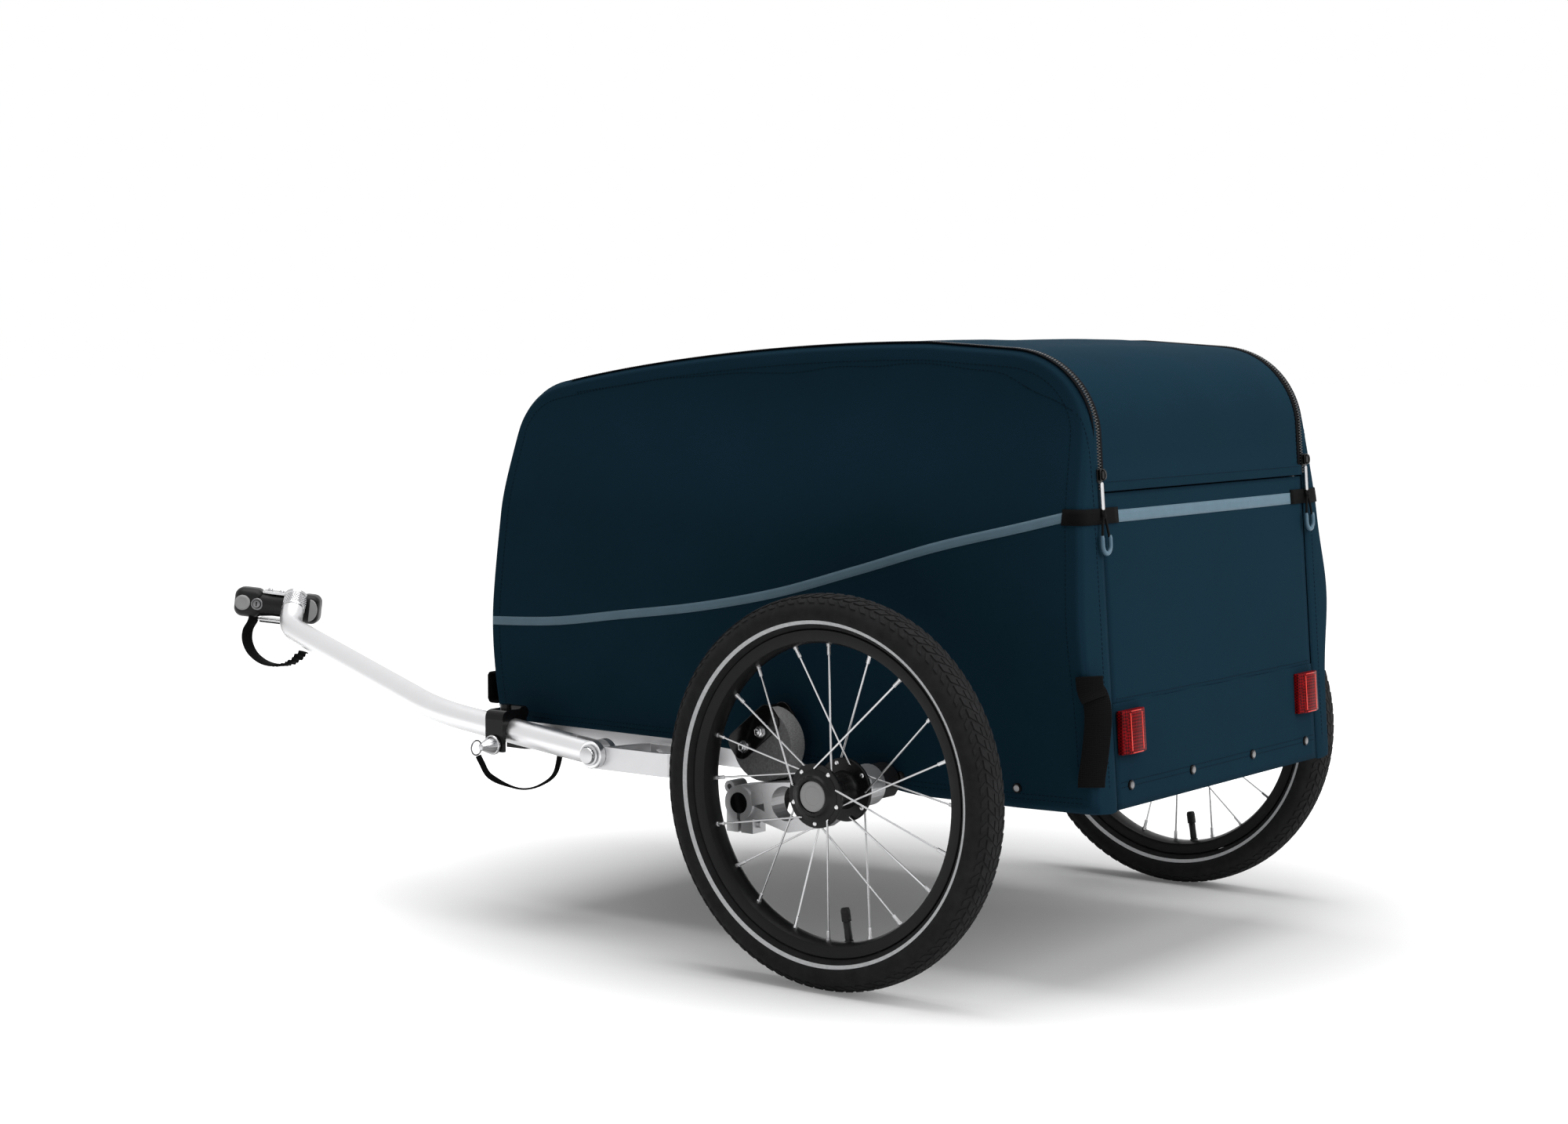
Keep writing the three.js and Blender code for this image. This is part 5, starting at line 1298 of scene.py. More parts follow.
RIM_SECTION = [(163.3, 0), (163.3, 11.5), (163.2, 12.6), (162.4, 13.3), (160.2, 13.2), (153.4, 12.9),
               (151.4, 12.0), (150.2, 9.6), (149.0, 6.4), (148.8, 0)]
BARREL = [(6.3, -32), (14.2, -32), (15, -31.2), (15, -26), (19.4, -25), (19.4, -22), (17.6, -19), (16.2, -12),
          (16, 0), (16.2, 12), (17.6, 19), (19.4, 22), (19.4, 23), (6.3, 23)]
HUB_COLLAR = [(16.0, 25.5), (26.5, 25.5), (26.5, 26.4), (24.6, 27.2), (22.4, 27.6), (20.4, 29.0),
              (19.6, 31.0), (18.6, 31.8), (17.2, 32.0), (16.4, 31.4), (16.0, 30.4)]
RELEASE_BUTTON = [(0.05, 29.7), (8.6, 29.8), (9.0, 30.1), (9.4, 29.9), (12.4, 30.2), (14.2, 30.5),
                  (15.0, 30.2), (15.5, 29.4), (15.6, 28.4), (15.6, 26.3), (2.5, 26.3), (2.5, 13), (0.05, 13)]


def on_circle(radius, turn, y):
    """A point round the wheel's axis, counted from straight up, with Y along the axis."""
    return Vector((radius * math.sin(turn), y, radius * math.cos(turn))) * MM


def spoke_item(flange, outside):
    """A spoke with its head and nipple, the wheel's centre at the origin and Y outwards."""
    hub_turn = (HOLE_STEP if outside < 0 else 0) + (0 if flange > 0 else HOLE_STEP / 2)
    start = on_circle(HOLE_R, hub_turn, flange * FLANGE_Y + flange * outside * 3.4)
    end = on_circle(NIPPLE_R, hub_turn - outside * HOLE_STEP, flange * 3)
    along = (end - start).normalized()
    through_hole = Vector((0, flange, 0)) * MM
    foot = start - through_hole * outside * 5.6
    bend = [foot, start - through_hole * outside * 1.5, start, start + along * 0.004]
    path = through(bend, 9) + [start.lerp(end, 0.5), end]
    wire = swept_piece("wire", path, round_section(1.0 * MM, 8), spoke_steel)
    head = turned_piece("head", [(0.1, 1.1), (1.6, 0.9), (2.4, 0.1), (2.4, -0.3), (0.1, -0.3)], foot,
                        Vector((0, -flange * outside, 0)), bright_steel, 14)
    nipple = turned_piece("nipple", [(1.2, 0), (1.9, 0.6), (1.9, 9.0), (2.5, 9.2), (2.5, 14), (0.4, 14)],
                          end - along * 13.2 * MM, along, bright_steel, 8)
    return joined("spoke", [wire, head, nipple])


def spokes(centre, side):
    """Four sets of five, leading and trailing from each flange."""
    sets = [(flange, outside) for flange in (1, -1) for outside in (1, -1)]
    return [copies("spoke_row", spoke_item(flange * side, outside), radial_places(centre, 5), spoke_steel)
            for flange, outside in sets]


def flange_pieces(centre, side, y, out):
    """A hub flange: a rounded disc with a bead round each spoke hole."""
    profile = [(17, y - 2), (31.2, y - 2), (32, y - 1.2), (32, y + 1.2), (31.2, y + 2), (17, y + 2)]
    disc = turned_piece("flange", profile, centre, (0, side, 0), hub_black, 96, closed=True)
    bead = turned_piece("bead", [(1.5, 0), (2.1, 0.35), (2.9, 0.35), (3.3, 0), (3.3, -0.4), (1.5, -0.4)],
                        Vector(), (0, 0, 1), hub_black, 16, closed=True)
    places = []
    for k in range(HOLES):
        turn = k * HOLE_STEP + (0 if out > 0 else HOLE_STEP / 2)
        point = centre + on_circle(HOLE_R, turn, side * (y + out * 2.05))
        places.append(facing(point, Vector((1, 0, 0)), Vector((0, side * out, 0))))
    return [disc, copies("beads", bead, places, hub_black)]


def hub_pieces(centre, side):
    axis = (0, side, 0)
    barrel = turned_piece("barrel", BARREL, centre, axis, hub_black, 72, closed=True)
    collar = turned_piece("collar", HUB_COLLAR, centre, axis, hub_black, 96, closed=True)
    outer = flange_pieces(centre, side, FLANGE_Y, 1)
    inner = flange_pieces(centre, side, -FLANGE_Y, -1)
    return [barrel, collar] + outer + inner


def rim_piece(centre, side):
    profile = RIM_SECTION + [(r, -w) for r, w in reversed(RIM_SECTION[1:-1])]
    return turned_piece("rim", profile, centre, (0, side, 0), satin_black, 144, closed=True)


# Tyre valves

VALVE_TURN = 9
VALVE_FOOT_R = 148.2
VALVE_STEM = [(4.6, 0), (4.6, 1.2), (3.6, 1.8), (3.9, 4), (3.7, 12), (3.9, 19), (3.4, 20), (0.1, 20)]
VALVE_CAP = [(3.2, 19.6), (4.8, 20.2), (5.0, 21)]
VALVE_CAP += [(5.0 if i % 2 else 4.7, 21.5 + i * 0.9) for i in range(10)]
VALVE_CAP += [(4.6, 32), (3.9, 33.6), (2.6, 34), (0.1, 34)]


def valve_piece(name, centre):
    """A car-type valve that points at the hub from low on the rim, with its ribbed cap."""
    turn = math.radians(VALVE_TURN)
    down = Vector((-math.sin(turn), 0, -math.cos(turn)))
    foot = centre + down * VALVE_FOOT_R * MM
    stem = turned_piece("stem", VALVE_STEM, foot, -down, plastic_black, 28)
    cap = turned_piece("cap", VALVE_CAP, foot, -down, plastic_black, 28)
    return joined(name, [stem, cap])


for name, side in SIDES:
    wheel = f"wheel_{name}"
    centre = at(0, side * WHEEL_Y, WHEEL_R)
    tyre = [tyre_case(f"tyre_case_{name}", centre, side)] + tread(centre)
    ride(joined(f"tyre_with_tread_{name}", tyre), wheel, "tyre", f"tyre_{name}")
    rim = [rim_piece(centre, side)] + spokes(centre, side)
    ride(joined(f"rim_and_spokes_{name}", rim), wheel, "black_paint", f"rim_{name}")
    ride(joined(f"hub_shell_{name}", hub_pieces(centre, side)), wheel, "black_paint", f"hub_{name}")
    button = turned_piece(f"release_button_{name}", RELEASE_BUTTON, centre, (0, side, 0), button_grey, 72)
    ride(button, f"release_{name}", "grey_button", f"release_button_{name}")
    ride(valve_piece(f"valve_stem_{name}", centre), wheel, "black_plastic", f"valve_{name}")

# Elastomer discs and their channels

PUCK = {"x": 124.6, "z": 228.7, "radius": 38, "back": 275.3, "front": 299.3, "turn": 50.8, "chord": 0.72 * 38}
PLATE = 3
CLEAR = 0.3
CHANNEL_FEET = ((269.3, 272.3, 240), (240, 272.3, 191.2))
BOLT_SPOTS = (-17.55, 9.95)


def puck_place(side, y):
    """A matrix whose X runs along the disc's flat, Y out to the flat and Z out of the trailer."""
    turn = math.radians(PUCK["turn"])
    out = Vector((math.cos(turn), 0, math.sin(turn)))
    along = Vector((-math.sin(turn), 0, math.cos(turn)))
    axes = Matrix((along, out, Vector((0, side, 0)))).transposed().to_4x4()
    return Matrix.Translation(at(PUCK["x"], side * y, PUCK["z"])) @ axes


def puck_outline():
    """A circle with one flat."""
    limit = math.acos(PUCK["chord"] / PUCK["radius"])
    start = math.pi / 2 + limit
    turns = [start + (2 * math.pi - 2 * limit) * i / 90 for i in range(91)]
    return [(PUCK["radius"] * math.cos(t), PUCK["radius"] * math.sin(t)) for t in turns]


def elastomer_disc(name, side):
    thickness = PUCK["front"] - PUCK["back"]
    disc = plate_piece(name, puck_outline(), thickness, puck_place(side, PUCK["back"]), felt_grey, 0.8)
    disc.data.materials.append(felt_rim)
    for polygon in disc.data.polygons:
        if abs(polygon.normal.y) < 0.5:
            polygon.material_index = 1
    return disc


def channel_bolt(side, spot):
    """A hexagon bolt on a washer, its rounded end standing out of the head."""
    place = puck_place(side, PUCK["front"] + CLEAR + PLATE) @ Matrix.Translation(Vector((spot, 10, 0)) * MM)
    centre = place.to_translation()
    axis = (0, side, 0)
    head_place = place @ Matrix.Translation(Vector((0, 0, 1.0)) * MM)
    washer = [(3, 0), (6.6, 0), (6.6, 1.1), (3, 1.1)]
    return [
        turned_piece("washer", washer, centre, axis, bright_steel, 32, closed=True),
        plate_piece("bolt", hexagon(5.4), 3.6, head_place, bright_steel, 0.6, 2),
        turned_piece("tip", [(0.1, 7), (2.4, 6.6), (3, 6), (3, 4)], centre, axis, bright_steel, 20),
    ]


def disc_channel(name, side):
    """Two cheeks joined by a web over the disc's flat, on two feet, with their bolts."""
    depth = PUCK["front"] - PUCK["back"] + 2 * PLATE
    near = PUCK["chord"] + CLEAR
    far = near + PLATE
    cheek = rounded_outline(-34, 37, 0, far, 11)
    items = []
    for y in (PUCK["front"] + CLEAR, PUCK["back"] - CLEAR - PLATE):
        items.append(plate_piece("cheek", cheek, PLATE, puck_place(side, y), gloss_black, 0.7, 3))
    web_place = puck_place(side, PUCK["back"] - PLATE)
    items.append(rounded_box("web", (-25, near, 0), (27, far, depth), 0.8, web_place, gloss_black, 2))
    for y0, y1, top in CHANNEL_FEET:
        y_low, y_high = sorted((side * y0, side * y1))
        items.append(rounded_box("foot", (111.6, y_low, 186), (137.6, y_high, top), 0.8,
                                 Matrix.Translation((axle_x, 0, 0)), gloss_black, 2))
    for spot in BOLT_SPOTS:
        items += channel_bolt(side, spot)
    return joined(name, items)


for name, side in SIDES:
    disc = elastomer_disc(f"elastomer_disc_{name}", side)
    ride(disc, "frame", "elastomer", f"puck_{name}")
    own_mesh(disc)
    ride(disc_channel(f"disc_channel_{name}", side), "frame", "black_paint", f"puck_bracket_{name}")

# Rear reflectors

REFLECTOR_SPOT = (187, 262)
REFLECTOR_HEIGHT = 43
LENS_SECTION = [(-0.3, -22.5), (-5.6, -22.5), (-6.6, -21.8), (-9.7, -11.4), (-10.2, -10), (-10.2, 10),
                (-9.7, 11.4), (-6.6, 21.8), (-5.6, 22.5), (-0.3, 22.5)]

for name, side in SIDES:
    place = rear_frame(side * REFLECTOR_SPOT[0], REFLECTOR_SPOT[1])
    place = place @ Matrix.Translation(Vector((-2.2, 0, -REFLECTOR_HEIGHT / 2)) * MM)
    block = [
        plate_piece(f"reflector_lens_{name}", LENS_SECTION, REFLECTOR_HEIGHT, place, lens_red, 0.9, 3),
        rounded_box("reflector_base", (-2.4, -21.4, 1.2), (0.6, 21.4, 41.8), 0.6, place, plastic_black, 2),
    ]
    # Thin ridges and rims frame the lens's flat face; their bright red is a painted highlight along its edges
    for y in (-10.8, 10.8):
        low, high = (-10.35, y - 0.8, 3), (-9.0, y + 0.8, 40)
        block.append(rounded_box("ridge", low, high, 0.4, place, lens_painted_highlight, 2))
    for z in (1.1, 41.9):
        low, high = (-10.3, -10, z - 0.5), (-9.4, 10, z + 0.5)
        block.append(rounded_box("rim", low, high, 0.3, place, lens_painted_highlight, 2))
    ride(joined(f"reflector_block_{name}", block), "frame", "red_lens", f"reflector_{name}")

# Tow bar

TUBE_R = 14
TOW_Y = 300
SLOT_HALF = 5.4
PIVOT = Vector((346, TOW_Y, 199.5))
FIRST_BEND = Vector((584, TOW_Y, 226))
SECOND_BEND = Vector((968, 171, 286.4))
NECK = Vector((0.4, -0.62, 0.66)).normalized()
NECK_END = SECOND_BEND + NECK * 28
BEND_REACHES = (46, 22)
NUT_Y = 285.6
BOLT_HEAD = [(4.9, -21), (4.9, 14.2), (10.4, 14.3), (11.4, 15.0), (11.4, 16.4), (10.2, 16.9), (9.6, 16.9),
             (9.4, 19.6), (8.6, 20.8), (7.2, 21.2), (0.1, 21.4)]


def bent(corners, bend_reaches):
    """Straight stretches joined by curves that start as far before each corner as its reach."""
    path = [corners[0]]
    for i, reach in enumerate(bend_reaches, 1):
        back = corners[i] + (corners[i - 1] - corners[i]).normalized() * reach
        on = corners[i] + (corners[i + 1] - corners[i]).normalized() * reach
        b = back + (corners[i] - back) * 2 / 3
        c = on + (corners[i] - on) * 2 / 3
        path += interpolate_bezier(back, b, c, on, 18)
    return path + [corners[-1]]


def tow_tube():
    """The bent tube, its rounded rear end slotted over the bracket's nose."""
    line = [at(*p) for p in bent([PIVOT, FIRST_BEND, SECOND_BEND, NECK_END], BEND_REACHES)]
    tube = swept_piece("tow_bar_tube", line, round_section(TUBE_R * MM, 48), silver_tube)
    pivot = at(*PIVOT)
    axis = (0, 1, 0)
    drum = [(14.2, -14), (15, -13.2), (15, 13.2), (14.2, 14)]
    end = turned_piece("tow_end", drum, pivot, axis, silver_tube)
    slot = rounded_box("slot", (320, TOW_Y - SLOT_HALF, 165), (381.5, TOW_Y + SLOT_HALF, 235), 0.1,
                       Matrix.Translation((axle_x, 0, 0)), silver_tube, 1)
    bore = turned_piece("bore", [(5.15, -30), (5.15, 30)], pivot, axis, silver_tube, 32)
    cut(tube, end, "UNION")
    cut(tube, slot)
    cut(tube, bore)
    return smooth(tube, 30)


ride(tow_tube(), "tow_bar", "silver_tube", "tow_tube")
bolt = turned_piece("rear_bolt_head", BOLT_HEAD, at(*PIVOT), (0, 1, 0), bright_steel)
nut_spot = at(PIVOT.x, NUT_Y, PIVOT.z)
nut_place = Matrix.Translation(nut_spot) @ Matrix.Rotation(math.radians(90), 4, "X")
nut = plate_piece("nut", hexagon(9), 5, nut_place, bright_steel, 0.7)
ride(joined("rear_bolt", [bolt, nut]), "frame", "zinc_steel", "tow_bolt")

# Locking pin with its ring

PIN_R = 11
RING_Y = 347.6
RING_R = 8
PIN_PROFILE = [(0.1, 307), (1.5, 307), (3, 310), (3, 319.9), (10.2, 319.9), (PIN_R, 320.6), (PIN_R, 323.2),
               (10.4, 324), (9.6, 324.2), (8.8, 328), (6.4, 334), (4.2, 339.4), (3.6, 340.8), (2.2, 341.3),
               (0.1, 341.4)]

low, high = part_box("lock_pin")
pin_centre = Vector(((low.x + high.x) / 2, 0, low.z + PIN_R * MM))
pin_body = turned_piece("pin_body", PIN_PROFILE, pin_centre, (0, 1, 0), bright_steel, 56)
ring_turns = [math.radians(a) for a in range(0, 360, 10)]
ring_path = [pin_centre + Vector((0, RING_Y + RING_R * math.cos(turn), RING_R * math.sin(turn))) * MM
             for turn in ring_turns]
split_ring = swept_piece("split_ring", ring_path, round_section(0.9 * MM, 10), stud_nickel, closed=True)
ride(joined("locking_pin", [pin_body, split_ring]), "lock_pin", "zinc_steel", "lock_pin")

# Lanyard and elastic safety strap, the two free cords

LANYARD = [(480, 346.0, 190.4), (476.5, 344.5, 183), (471, 338, 168), (465, 315, 155), (454, 300, 150),
           (443, 285, 154), (434, 272, 166), (436, 260, 190)]
LANYARD_STEPS = 60
STRAP = [(1035.5, 167.6, 294.6), (1037.5, 168.4, 288.5), (1044.5, 170, 277), (1041, 174, 263),
         (1026, 178, 249), (1000, 182, 240), (972, 184, 239), (948, 184, 245), (931, 181, 258.5)]
STRAP_STEPS = 90
STRAP_WIDTH = 14
GATHERS_START = 56

lanyard_path = through([at(*p) for p in LANYARD], LANYARD_STEPS)
half_turn = [math.pi * i / (LANYARD_STEPS - 1) for i in range(LANYARD_STEPS)]
twist = [Matrix.Rotation(turn, 3, "Z") @ camera_right for turn in half_turn]
lanyard = swept_piece("pin_lanyard", lanyard_path, flat_section(6.6 * MM, 1.3 * MM), web_black, across=twist)
ride(lanyard, "frame", "black_webbing", "lanyard")

strap_path = through([at(*p) for p in STRAP], STRAP_STEPS)


def gathered_strap():
    """A flat elastic whose last third is drawn into ruffles."""
    section = flat_section(STRAP_WIDTH * MM, 2.6 * MM)
    half = STRAP_WIDTH / 2 * MM
    rings = []
    for i, (centre, (side, up)) in enumerate(zip(strap_path, frames_along(strap_path, (0.35, 1, 0)))):
        ruffle = max(0.0, (i - GATHERS_START) / (STRAP_STEPS - 1 - GATHERS_START))
        wave = math.sin(i * 1.7) * 1.0 * MM * min(1, ruffle * 2)
        swell = 1 + 0.12 * math.sin(i * 0.85) * min(1, ruffle * 2)
        rings.append([centre + side * a * swell + up * (b + wave * (0.4 + abs(a) / half))
                      for a, b in section])
    item = skinned("elastic_safety_strap", rings, elastic_black)
    strap_map(item, strap_path)
    return smooth(item, CLOTH)


safety_strap = ride(gathered_strap(), "hitch", "black_webbing", "safety_strap")

# Knurled collar of the hitch

COLLAR = [(12, 0.3), (14.2, 0.3), (14.6, 1), (14.6, 4.6), (13.6, 5.4), (13.6, 19), (14.6, 19.8), (14.6, 23.4),
          (14, 24), (12, 24)]
KNURL_ROWS = 6
KNURLS = 28
KNURL_R = 13.7


def collar_piece():
    base = at(*NECK_END)
    ring = turned_piece("collar_ring", COLLAR, base, NECK, bright_steel, 56, closed=True)
    knurl = rounded_box("knurl", (-0.9, -0.9, -0.7), (0.9, 0.9, 0.7), 0.35,
                        Matrix.Rotation(math.radians(45), 4, "Z"), bright_steel, 1)
    side = NECK.orthogonal().normalized()
    other = NECK.cross(side)
    places = []
    for row in range(KNURL_ROWS):
        for k in range(KNURLS):
            turn = 2 * math.pi * (k + 0.5 * (row % 2)) / KNURLS
            out = side * math.cos(turn) + other * math.sin(turn)
            places.append(facing(base + NECK * (7 + row * 2.1) * MM + out * KNURL_R * MM, NECK, out))
    return joined("knurled_collar", [ring, copies("knurls", knurl, places, bright_steel)])


ride(collar_piece(), "tow_bar", "zinc_steel", "hitch_collar")

# Housing of the hitch, in millimetres on its own place: X to the mouth, Y to the buttons, Z up

HEAD_TURN = 37
HEAD_TILT = -6.8
HEAD_PLACE = (Matrix.Translation(at(*(NECK_END + NECK * 12)))
              @ Matrix.Rotation(math.radians(HEAD_TURN), 4, "Z")
              @ Matrix.Rotation(math.radians(HEAD_TILT), 4, "Y"))
HEAD_AXES = HEAD_PLACE.to_3x3()
FACE = -5
BACK = -39
LOW = -26
HIGH = 11
MID = -7.5
OVAL_X = -18.5
OVAL_R = 14
NECK_PROFILE = [(4, -27), (15.8, -24), (16.5, -10), (15.4, 4), (14.6, 14), (14.6, 30), (15.6, 38), (16.6, 46),
                (16.6, 60), (4, 68)]
RIVET = [(0.1, 3.2), (2.4, 2.8), (3.4, 1.4), (3.6, 0), (3.6, -1), (0.1, -1)]
LOCK_RING = [(5.4, -0.6), (7.4, -0.6), (7.6, 0.2), (7.1, 0.8), (5.8, 0.8), (5.4, 0.3)]

low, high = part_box("hitch_button_front")
front_centre = (low + high) / 2
head_x, head_y, head_z = (HEAD_AXES @ Vector(axis) for axis in ((1, 0, 0), (0, 1, 0), (0, 0, 1)))

# A plate's Y up the housing, and its depth towards the back
FACING_IN = Matrix(((1, 0, 0, 0), (0, 0, -1, 0), (0, 1, 0, 0), (0, 0, 0, 1)))


def on_head(x, y, z):
    return HEAD_PLACE @ (Vector((x, y, z)) * MM)


def half_oval(radius, wide):
    """The rear button's outline: flat on one side, half an oval on the other."""
    turns = [math.radians(a) for a in range(6, 180, 6)]
    run = [(OVAL_X, MID - radius)]
    run += [(OVAL_X - wide * math.sin(turn), MID - radius * math.cos(turn)) for turn in turns]
    return run + [(OVAL_X, MID + radius)]


def pocketed(item):
    """A part of the housing with the wells that the two buttons sink into."""
    round_well = turned_piece("well", [(0.1, -4.6), (9.9, -4.6), (9.9, 12), (0.1, 12)], front_centre, head_y,
                              plastic_black, 48)
    outline = [(x + (0.5 if x == OVAL_X else 0), z) for x, z in half_oval(OVAL_R + 0.5, OVAL_R)]
    place = HEAD_PLACE @ Matrix.Translation(Vector((0, FACE + 12, 0)) * MM) @ FACING_IN
    oval_well = plate_piece("well", outline, 15.2, place, plastic_black, 0)
    cut(item, round_well)
    cut(item, oval_well)
    return smooth(item, EASED)


def head_housing():
    """Two lobes on a round neck, with the plates, rivets and lock ring set on them."""
    neck = turned_piece("neck", NECK_PROFILE, on_head(0, -22, MID), head_x, plastic_black, 48)
    items = [
        rounded_box("front_lobe", (41, BACK, LOW), (78, FACE, HIGH), 11, HEAD_PLACE, plastic_black, 8),
        rounded_box("rear_lobe", (-30, BACK, LOW), (-3, FACE, HIGH), 10, HEAD_PLACE, plastic_black, 8),
        neck,
    ]
    items = [pocketed(item) for item in items]
    items.append(rounded_box("top_plate", (-14, -34, 6), (44, -11, 9.6), 1.4, HEAD_PLACE, bright_steel, 3))
    for x, y in ((-8, -16), (4, -30), (20, -15), (36, -24)):
        items.append(turned_piece("rivet", RIVET, on_head(x, y, 9.4), head_z, bright_steel, 20))
    items += [
        rounded_box("under_plate", (2, -35, -28.4), (46, -10, -25.6), 0.9, HEAD_PLACE, bright_steel, 2),
        rounded_box("under_web", (4, -33, -30.4), (44, -12, -28.2), 0.8, HEAD_PLACE, web_black, 2),
        turned_piece("lock_ring", LOCK_RING, on_head(48, FACE, MID), head_y, stud_nickel, 40, closed=True),
    ]
    return joined("hitch_housing", items)


ride(head_housing(), "hitch", "black_plastic", "hitch_head")

# Buttons and key lock of the hitch

FRONT_BUTTON = [(0.1, 1.6), (6.2, 1.5), (7.0, 1.7), (8.6, 1.4), (9.4, 0.6), (9.5, -0.4), (9.5, -1.6),
                (0.1, -1.6)]
LOCK_BARREL = [(0.1, 0.9), (3.9, 0.9), (4.6, 0.6), (4.9, 0), (4.9, -0.8), (0.1, -0.8)]

front_button = turned_piece("front_release_button", FRONT_BUTTON, front_centre, head_y, button_grey, 48)
ride(front_button, "hitch_button_front", "grey_button", "hitch_button_front")
oval_place = HEAD_PLACE @ Matrix.Translation(Vector((0, FACE + 2.9, 0)) * MM) @ FACING_IN
rear_button = plate_piece("rear_release_button", half_oval(OVAL_R, 10), 3.2, oval_place, button_grey, 0.9, 3)
ride(rear_button, "hitch_button_rear", "grey_button", "hitch_button_rear")
low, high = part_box("hitch_lock")
lock_centre = (low + high) / 2
barrel = turned_piece("lock_barrel", LOCK_BARREL, lock_centre, head_y, stud_nickel, 40)
slot_place = Matrix.Translation(lock_centre) @ HEAD_AXES.to_4x4()
key_slot = rounded_box("key_slot", (-0.8, 0.5, -2.9), (0.8, 1.1, 2.9), 0.2, slot_place, gloss_black, 1)
ride(joined("key_lock", [barrel, key_slot]), "hitch_lock", "black_paint", "hitch_lock")

# Webbing on the rear left corner: each point is a way down, a way out and a way sideways from its top

CORNER_Z = 322
TAB = [(0, 1.6, 0), (8, 1.5, 0), (15, 2.0, -1), (19, 3.4, -2), (22, 4.9, -3)]
HANG = [(16, 0.6, -3), (21, 1.6, -5), (28, 3.2, -6), (42, 3.6, -6), (60, 2.6, -4), (80, 0.8, -1),
        (97, -1.2, 2), (108, -2.4, 3)]

rear_corner = at(rear_x(CORNER_Z), BODY["half_width"], CORNER_Z)
diagonal = Vector((-1, 1, 0)).normalized()
width_way = Vector((1, 1, 0)).normalized()
down_way = Vector((-math.sin(rear_slope), 0, -math.cos(rear_slope)))
webs = []
for run, count in ((TAB, 24), (HANG, 60)):
    spots = [rear_corner + (down_way * d + diagonal * o + width_way * w) * MM for d, o, w in run]
    webs.append(swept_piece("corner_web", through(spots, count), flat_section(27 * MM, 1.7 * MM), web_black,
                            across=tuple(width_way)))
ride(joined("corner_webbing", webs), "frame", "black_webbing", "rear_strap")

# Webbing loop at the front left corner, with a strip of hook tape

LOOP_BEND = 0.004

low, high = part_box("front_strap")
y_mid = (low.y + high.y) / 2
back_x = low.x + 0.0012
front_x = high.x - 0.0008
z_low, z_high = low.z + 0.001, high.z - 0.001
fold = [(back_x, z_high), (front_x - LOOP_BEND, z_high), (front_x - MM, z_high - MM),
        (front_x, z_high - LOOP_BEND), (front_x, z_low + LOOP_BEND), (front_x - MM, z_low + MM),
        (front_x - LOOP_BEND, z_low), (back_x, z_low)]
loop_path = evenly([Vector((x, y_mid, z)) for x, z in fold], 60)
loop = swept_piece("front_loop", loop_path, flat_section(23.5 * MM, 2.0 * MM), web_black, across=(0, 1, 0))
tape_z = [z_low + 0.003 + (z_high - z_low - 0.006) * i / 9 for i in range(10)]
tape_path = [Vector((front_x + 0.0012, y_mid, z)) for z in tape_z]
tape = swept_piece("tape", tape_path, flat_section(22 * MM, 3.2 * MM), hook_tape, across=(0, 1, 0))
ride(joined("front_webbing_loop", [loop, tape]), "frame", "black_webbing", "front_strap")

# Floor and backdrop: white where the camera and the reflections see them, and less so under the trailer

FLOOR_HALF = 30
FLOOR_Z = -0.0005
GLOW_CENTRE = (-0.28, -0.1, 0)
GLOW_START = 0.32
GLOW_END = 1.1


def combined(tree, operation, first, second):
    """Two values put together by one sum."""
    node = add_node(tree, "ShaderNodeMath", {"operation": operation})
    tree.links.new(first, node.inputs[0])
    tree.links.new(second, node.inputs[1])
    return node.outputs[0]


def seen_directly(tree):
    """One for rays from the camera, a reflection or a clear piece, and nought for any others."""
    path = add_node(tree, "ShaderNodeLightPath")
    seen = combined(tree, "MAXIMUM", path.outputs["Is Camera Ray"], path.outputs["Is Glossy Ray"])
    return combined(tree, "MAXIMUM", seen, path.outputs["Is Transmission Ray"])


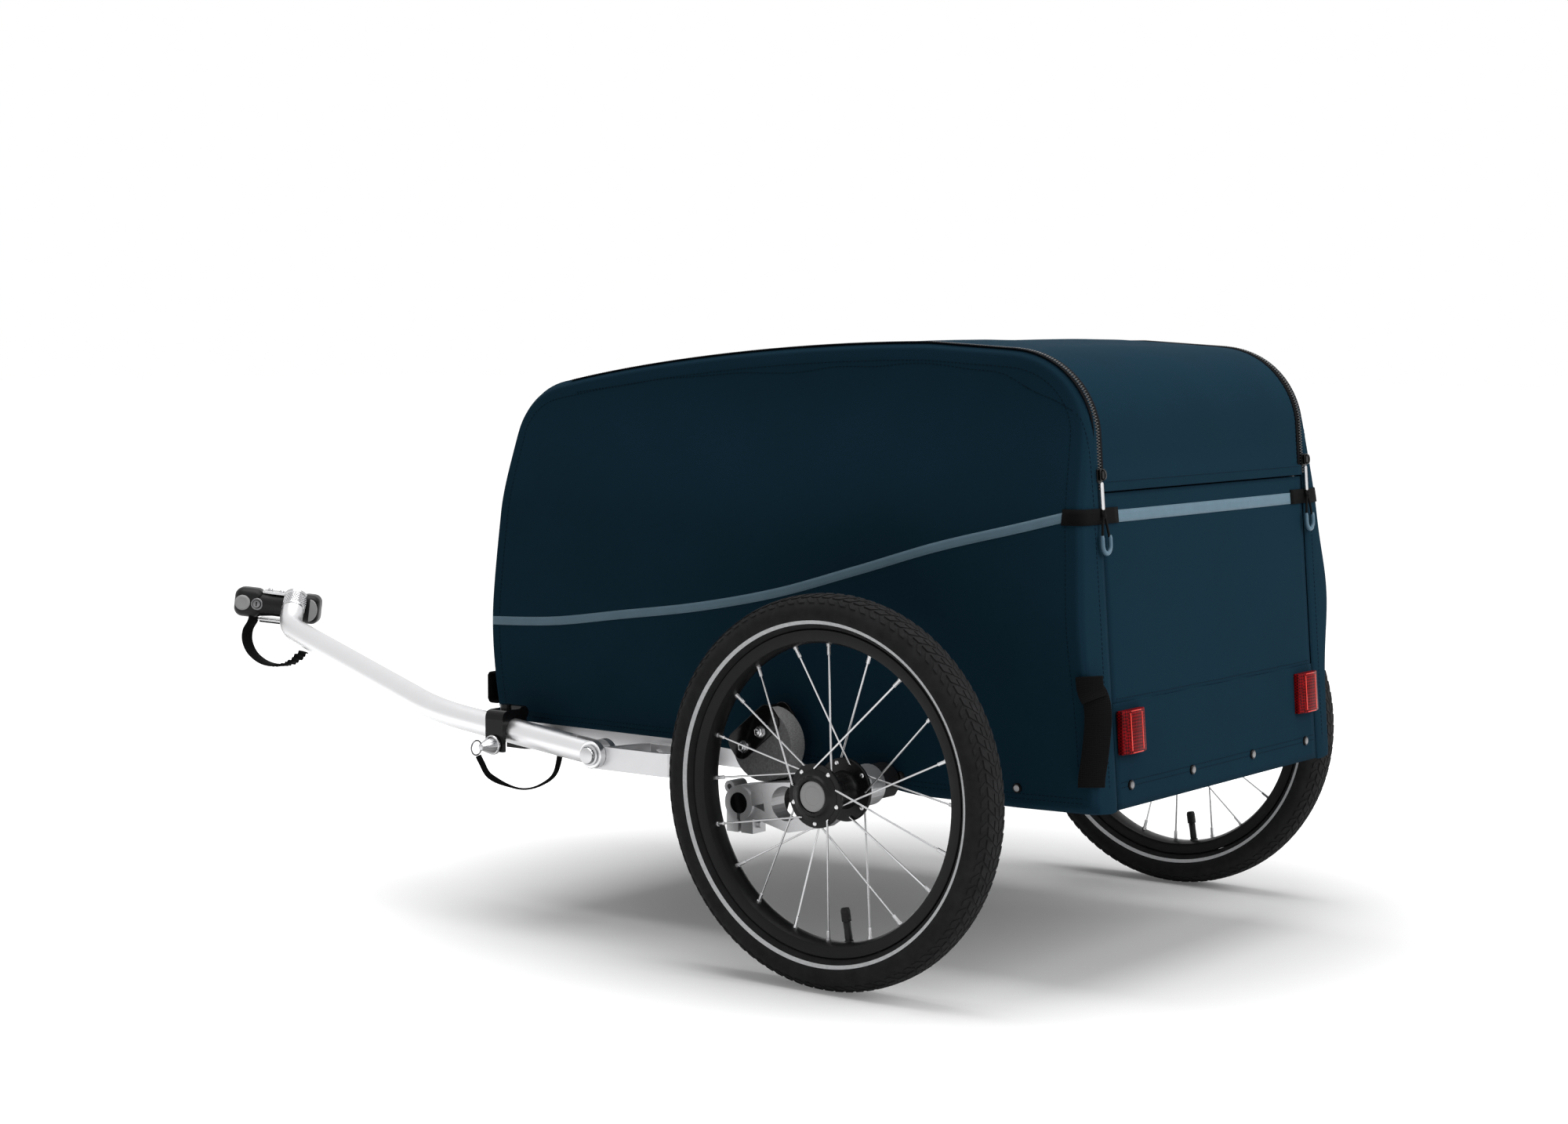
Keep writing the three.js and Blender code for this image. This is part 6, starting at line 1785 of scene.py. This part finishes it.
def floor_finish():
    """A matt floor that also glows, more so away from the trailer."""
    material = bpy.data.materials.new("studio_floor")
    material.use_nodes = True
    tree = material.node_tree
    tree.nodes.clear()
    matt = add_node(tree, "ShaderNodeBsdfDiffuse", Color=grey(0.82))
    glow = add_node(tree, "ShaderNodeEmission", Color=grey(1))
    spot = add_node(tree, "ShaderNodeTexCoord")
    away = add_node(tree, "ShaderNodeVectorMath", {"operation": "DISTANCE"})
    away.inputs[1].default_value = GLOW_CENTRE
    tree.links.new(spot.outputs["Object"], away.inputs[0])
    rise = add_node(tree, "ShaderNodeMapRange", {"interpolation_type": "SMOOTHSTEP"}, From_Min=GLOW_START,
                    From_Max=GLOW_END, To_Min=0.08, To_Max=0.9)
    tree.links.new(away.outputs["Value"], rise.inputs["Value"])
    strength = combined(tree, "MULTIPLY", seen_directly(tree), rise.outputs["Result"])
    tree.links.new(strength, glow.inputs["Strength"])
    both = add_node(tree, "ShaderNodeAddShader")
    tree.links.new(matt.outputs[0], both.inputs[0])
    tree.links.new(glow.outputs[0], both.inputs[1])
    surface = add_node(tree, "ShaderNodeOutputMaterial")
    tree.links.new(both.outputs[0], surface.inputs["Surface"])
    return material


def studio_world():
    """Weak grey light from all round, behind a white backdrop."""
    world = bpy.data.worlds.new("studio")
    world.use_nodes = True
    tree = world.node_tree
    tree.nodes.clear()
    ambient = add_node(tree, "ShaderNodeBackground", Color=grey(1), Strength=0.26)
    white = add_node(tree, "ShaderNodeBackground", Color=grey(1), Strength=1.0)
    choice = add_node(tree, "ShaderNodeMixShader")
    tree.links.new(seen_directly(tree), choice.inputs[0])
    tree.links.new(ambient.outputs[0], choice.inputs[1])
    tree.links.new(white.outputs[0], choice.inputs[2])
    surface = add_node(tree, "ShaderNodeOutputWorld")
    tree.links.new(choice.outputs[0], surface.inputs["Surface"])
    return world


floor_mesh = bpy.data.meshes.new("studio_floor")
floor_corners = [(x * FLOOR_HALF, y * FLOOR_HALF, FLOOR_Z) for x, y in ((-1, -1), (1, -1), (1, 1), (-1, 1))]
floor_mesh.from_pydata(floor_corners, [], [(0, 1, 2, 3)])
put("studio_floor", floor_mesh, floor_finish())
bpy.context.scene.world = studio_world()

# Lamps


def softbox(name, place, aim, size, power):
    data = bpy.data.lights.new(name, "AREA")
    data.shape = "RECTANGLE"
    data.size, data.size_y = size
    data.energy = power
    lamp = bpy.data.objects.new(name, data)
    bpy.context.scene.collection.objects.link(lamp)
    lamp.location = place
    lamp.rotation_euler = (Vector(aim) - Vector(place)).to_track_quat("-Z", "Y").to_euler()


softbox("overhead", (-0.3, 0.0, 3.0), (-0.3, 0, 0), (3.0, 2.4), 70)
softbox("rear_key", (-3.3, -0.6, 2.1), (-0.5, 0, 0.4), (2.8, 2.4), 68)

bpy.context.scene.view_settings.view_transform = "Standard"
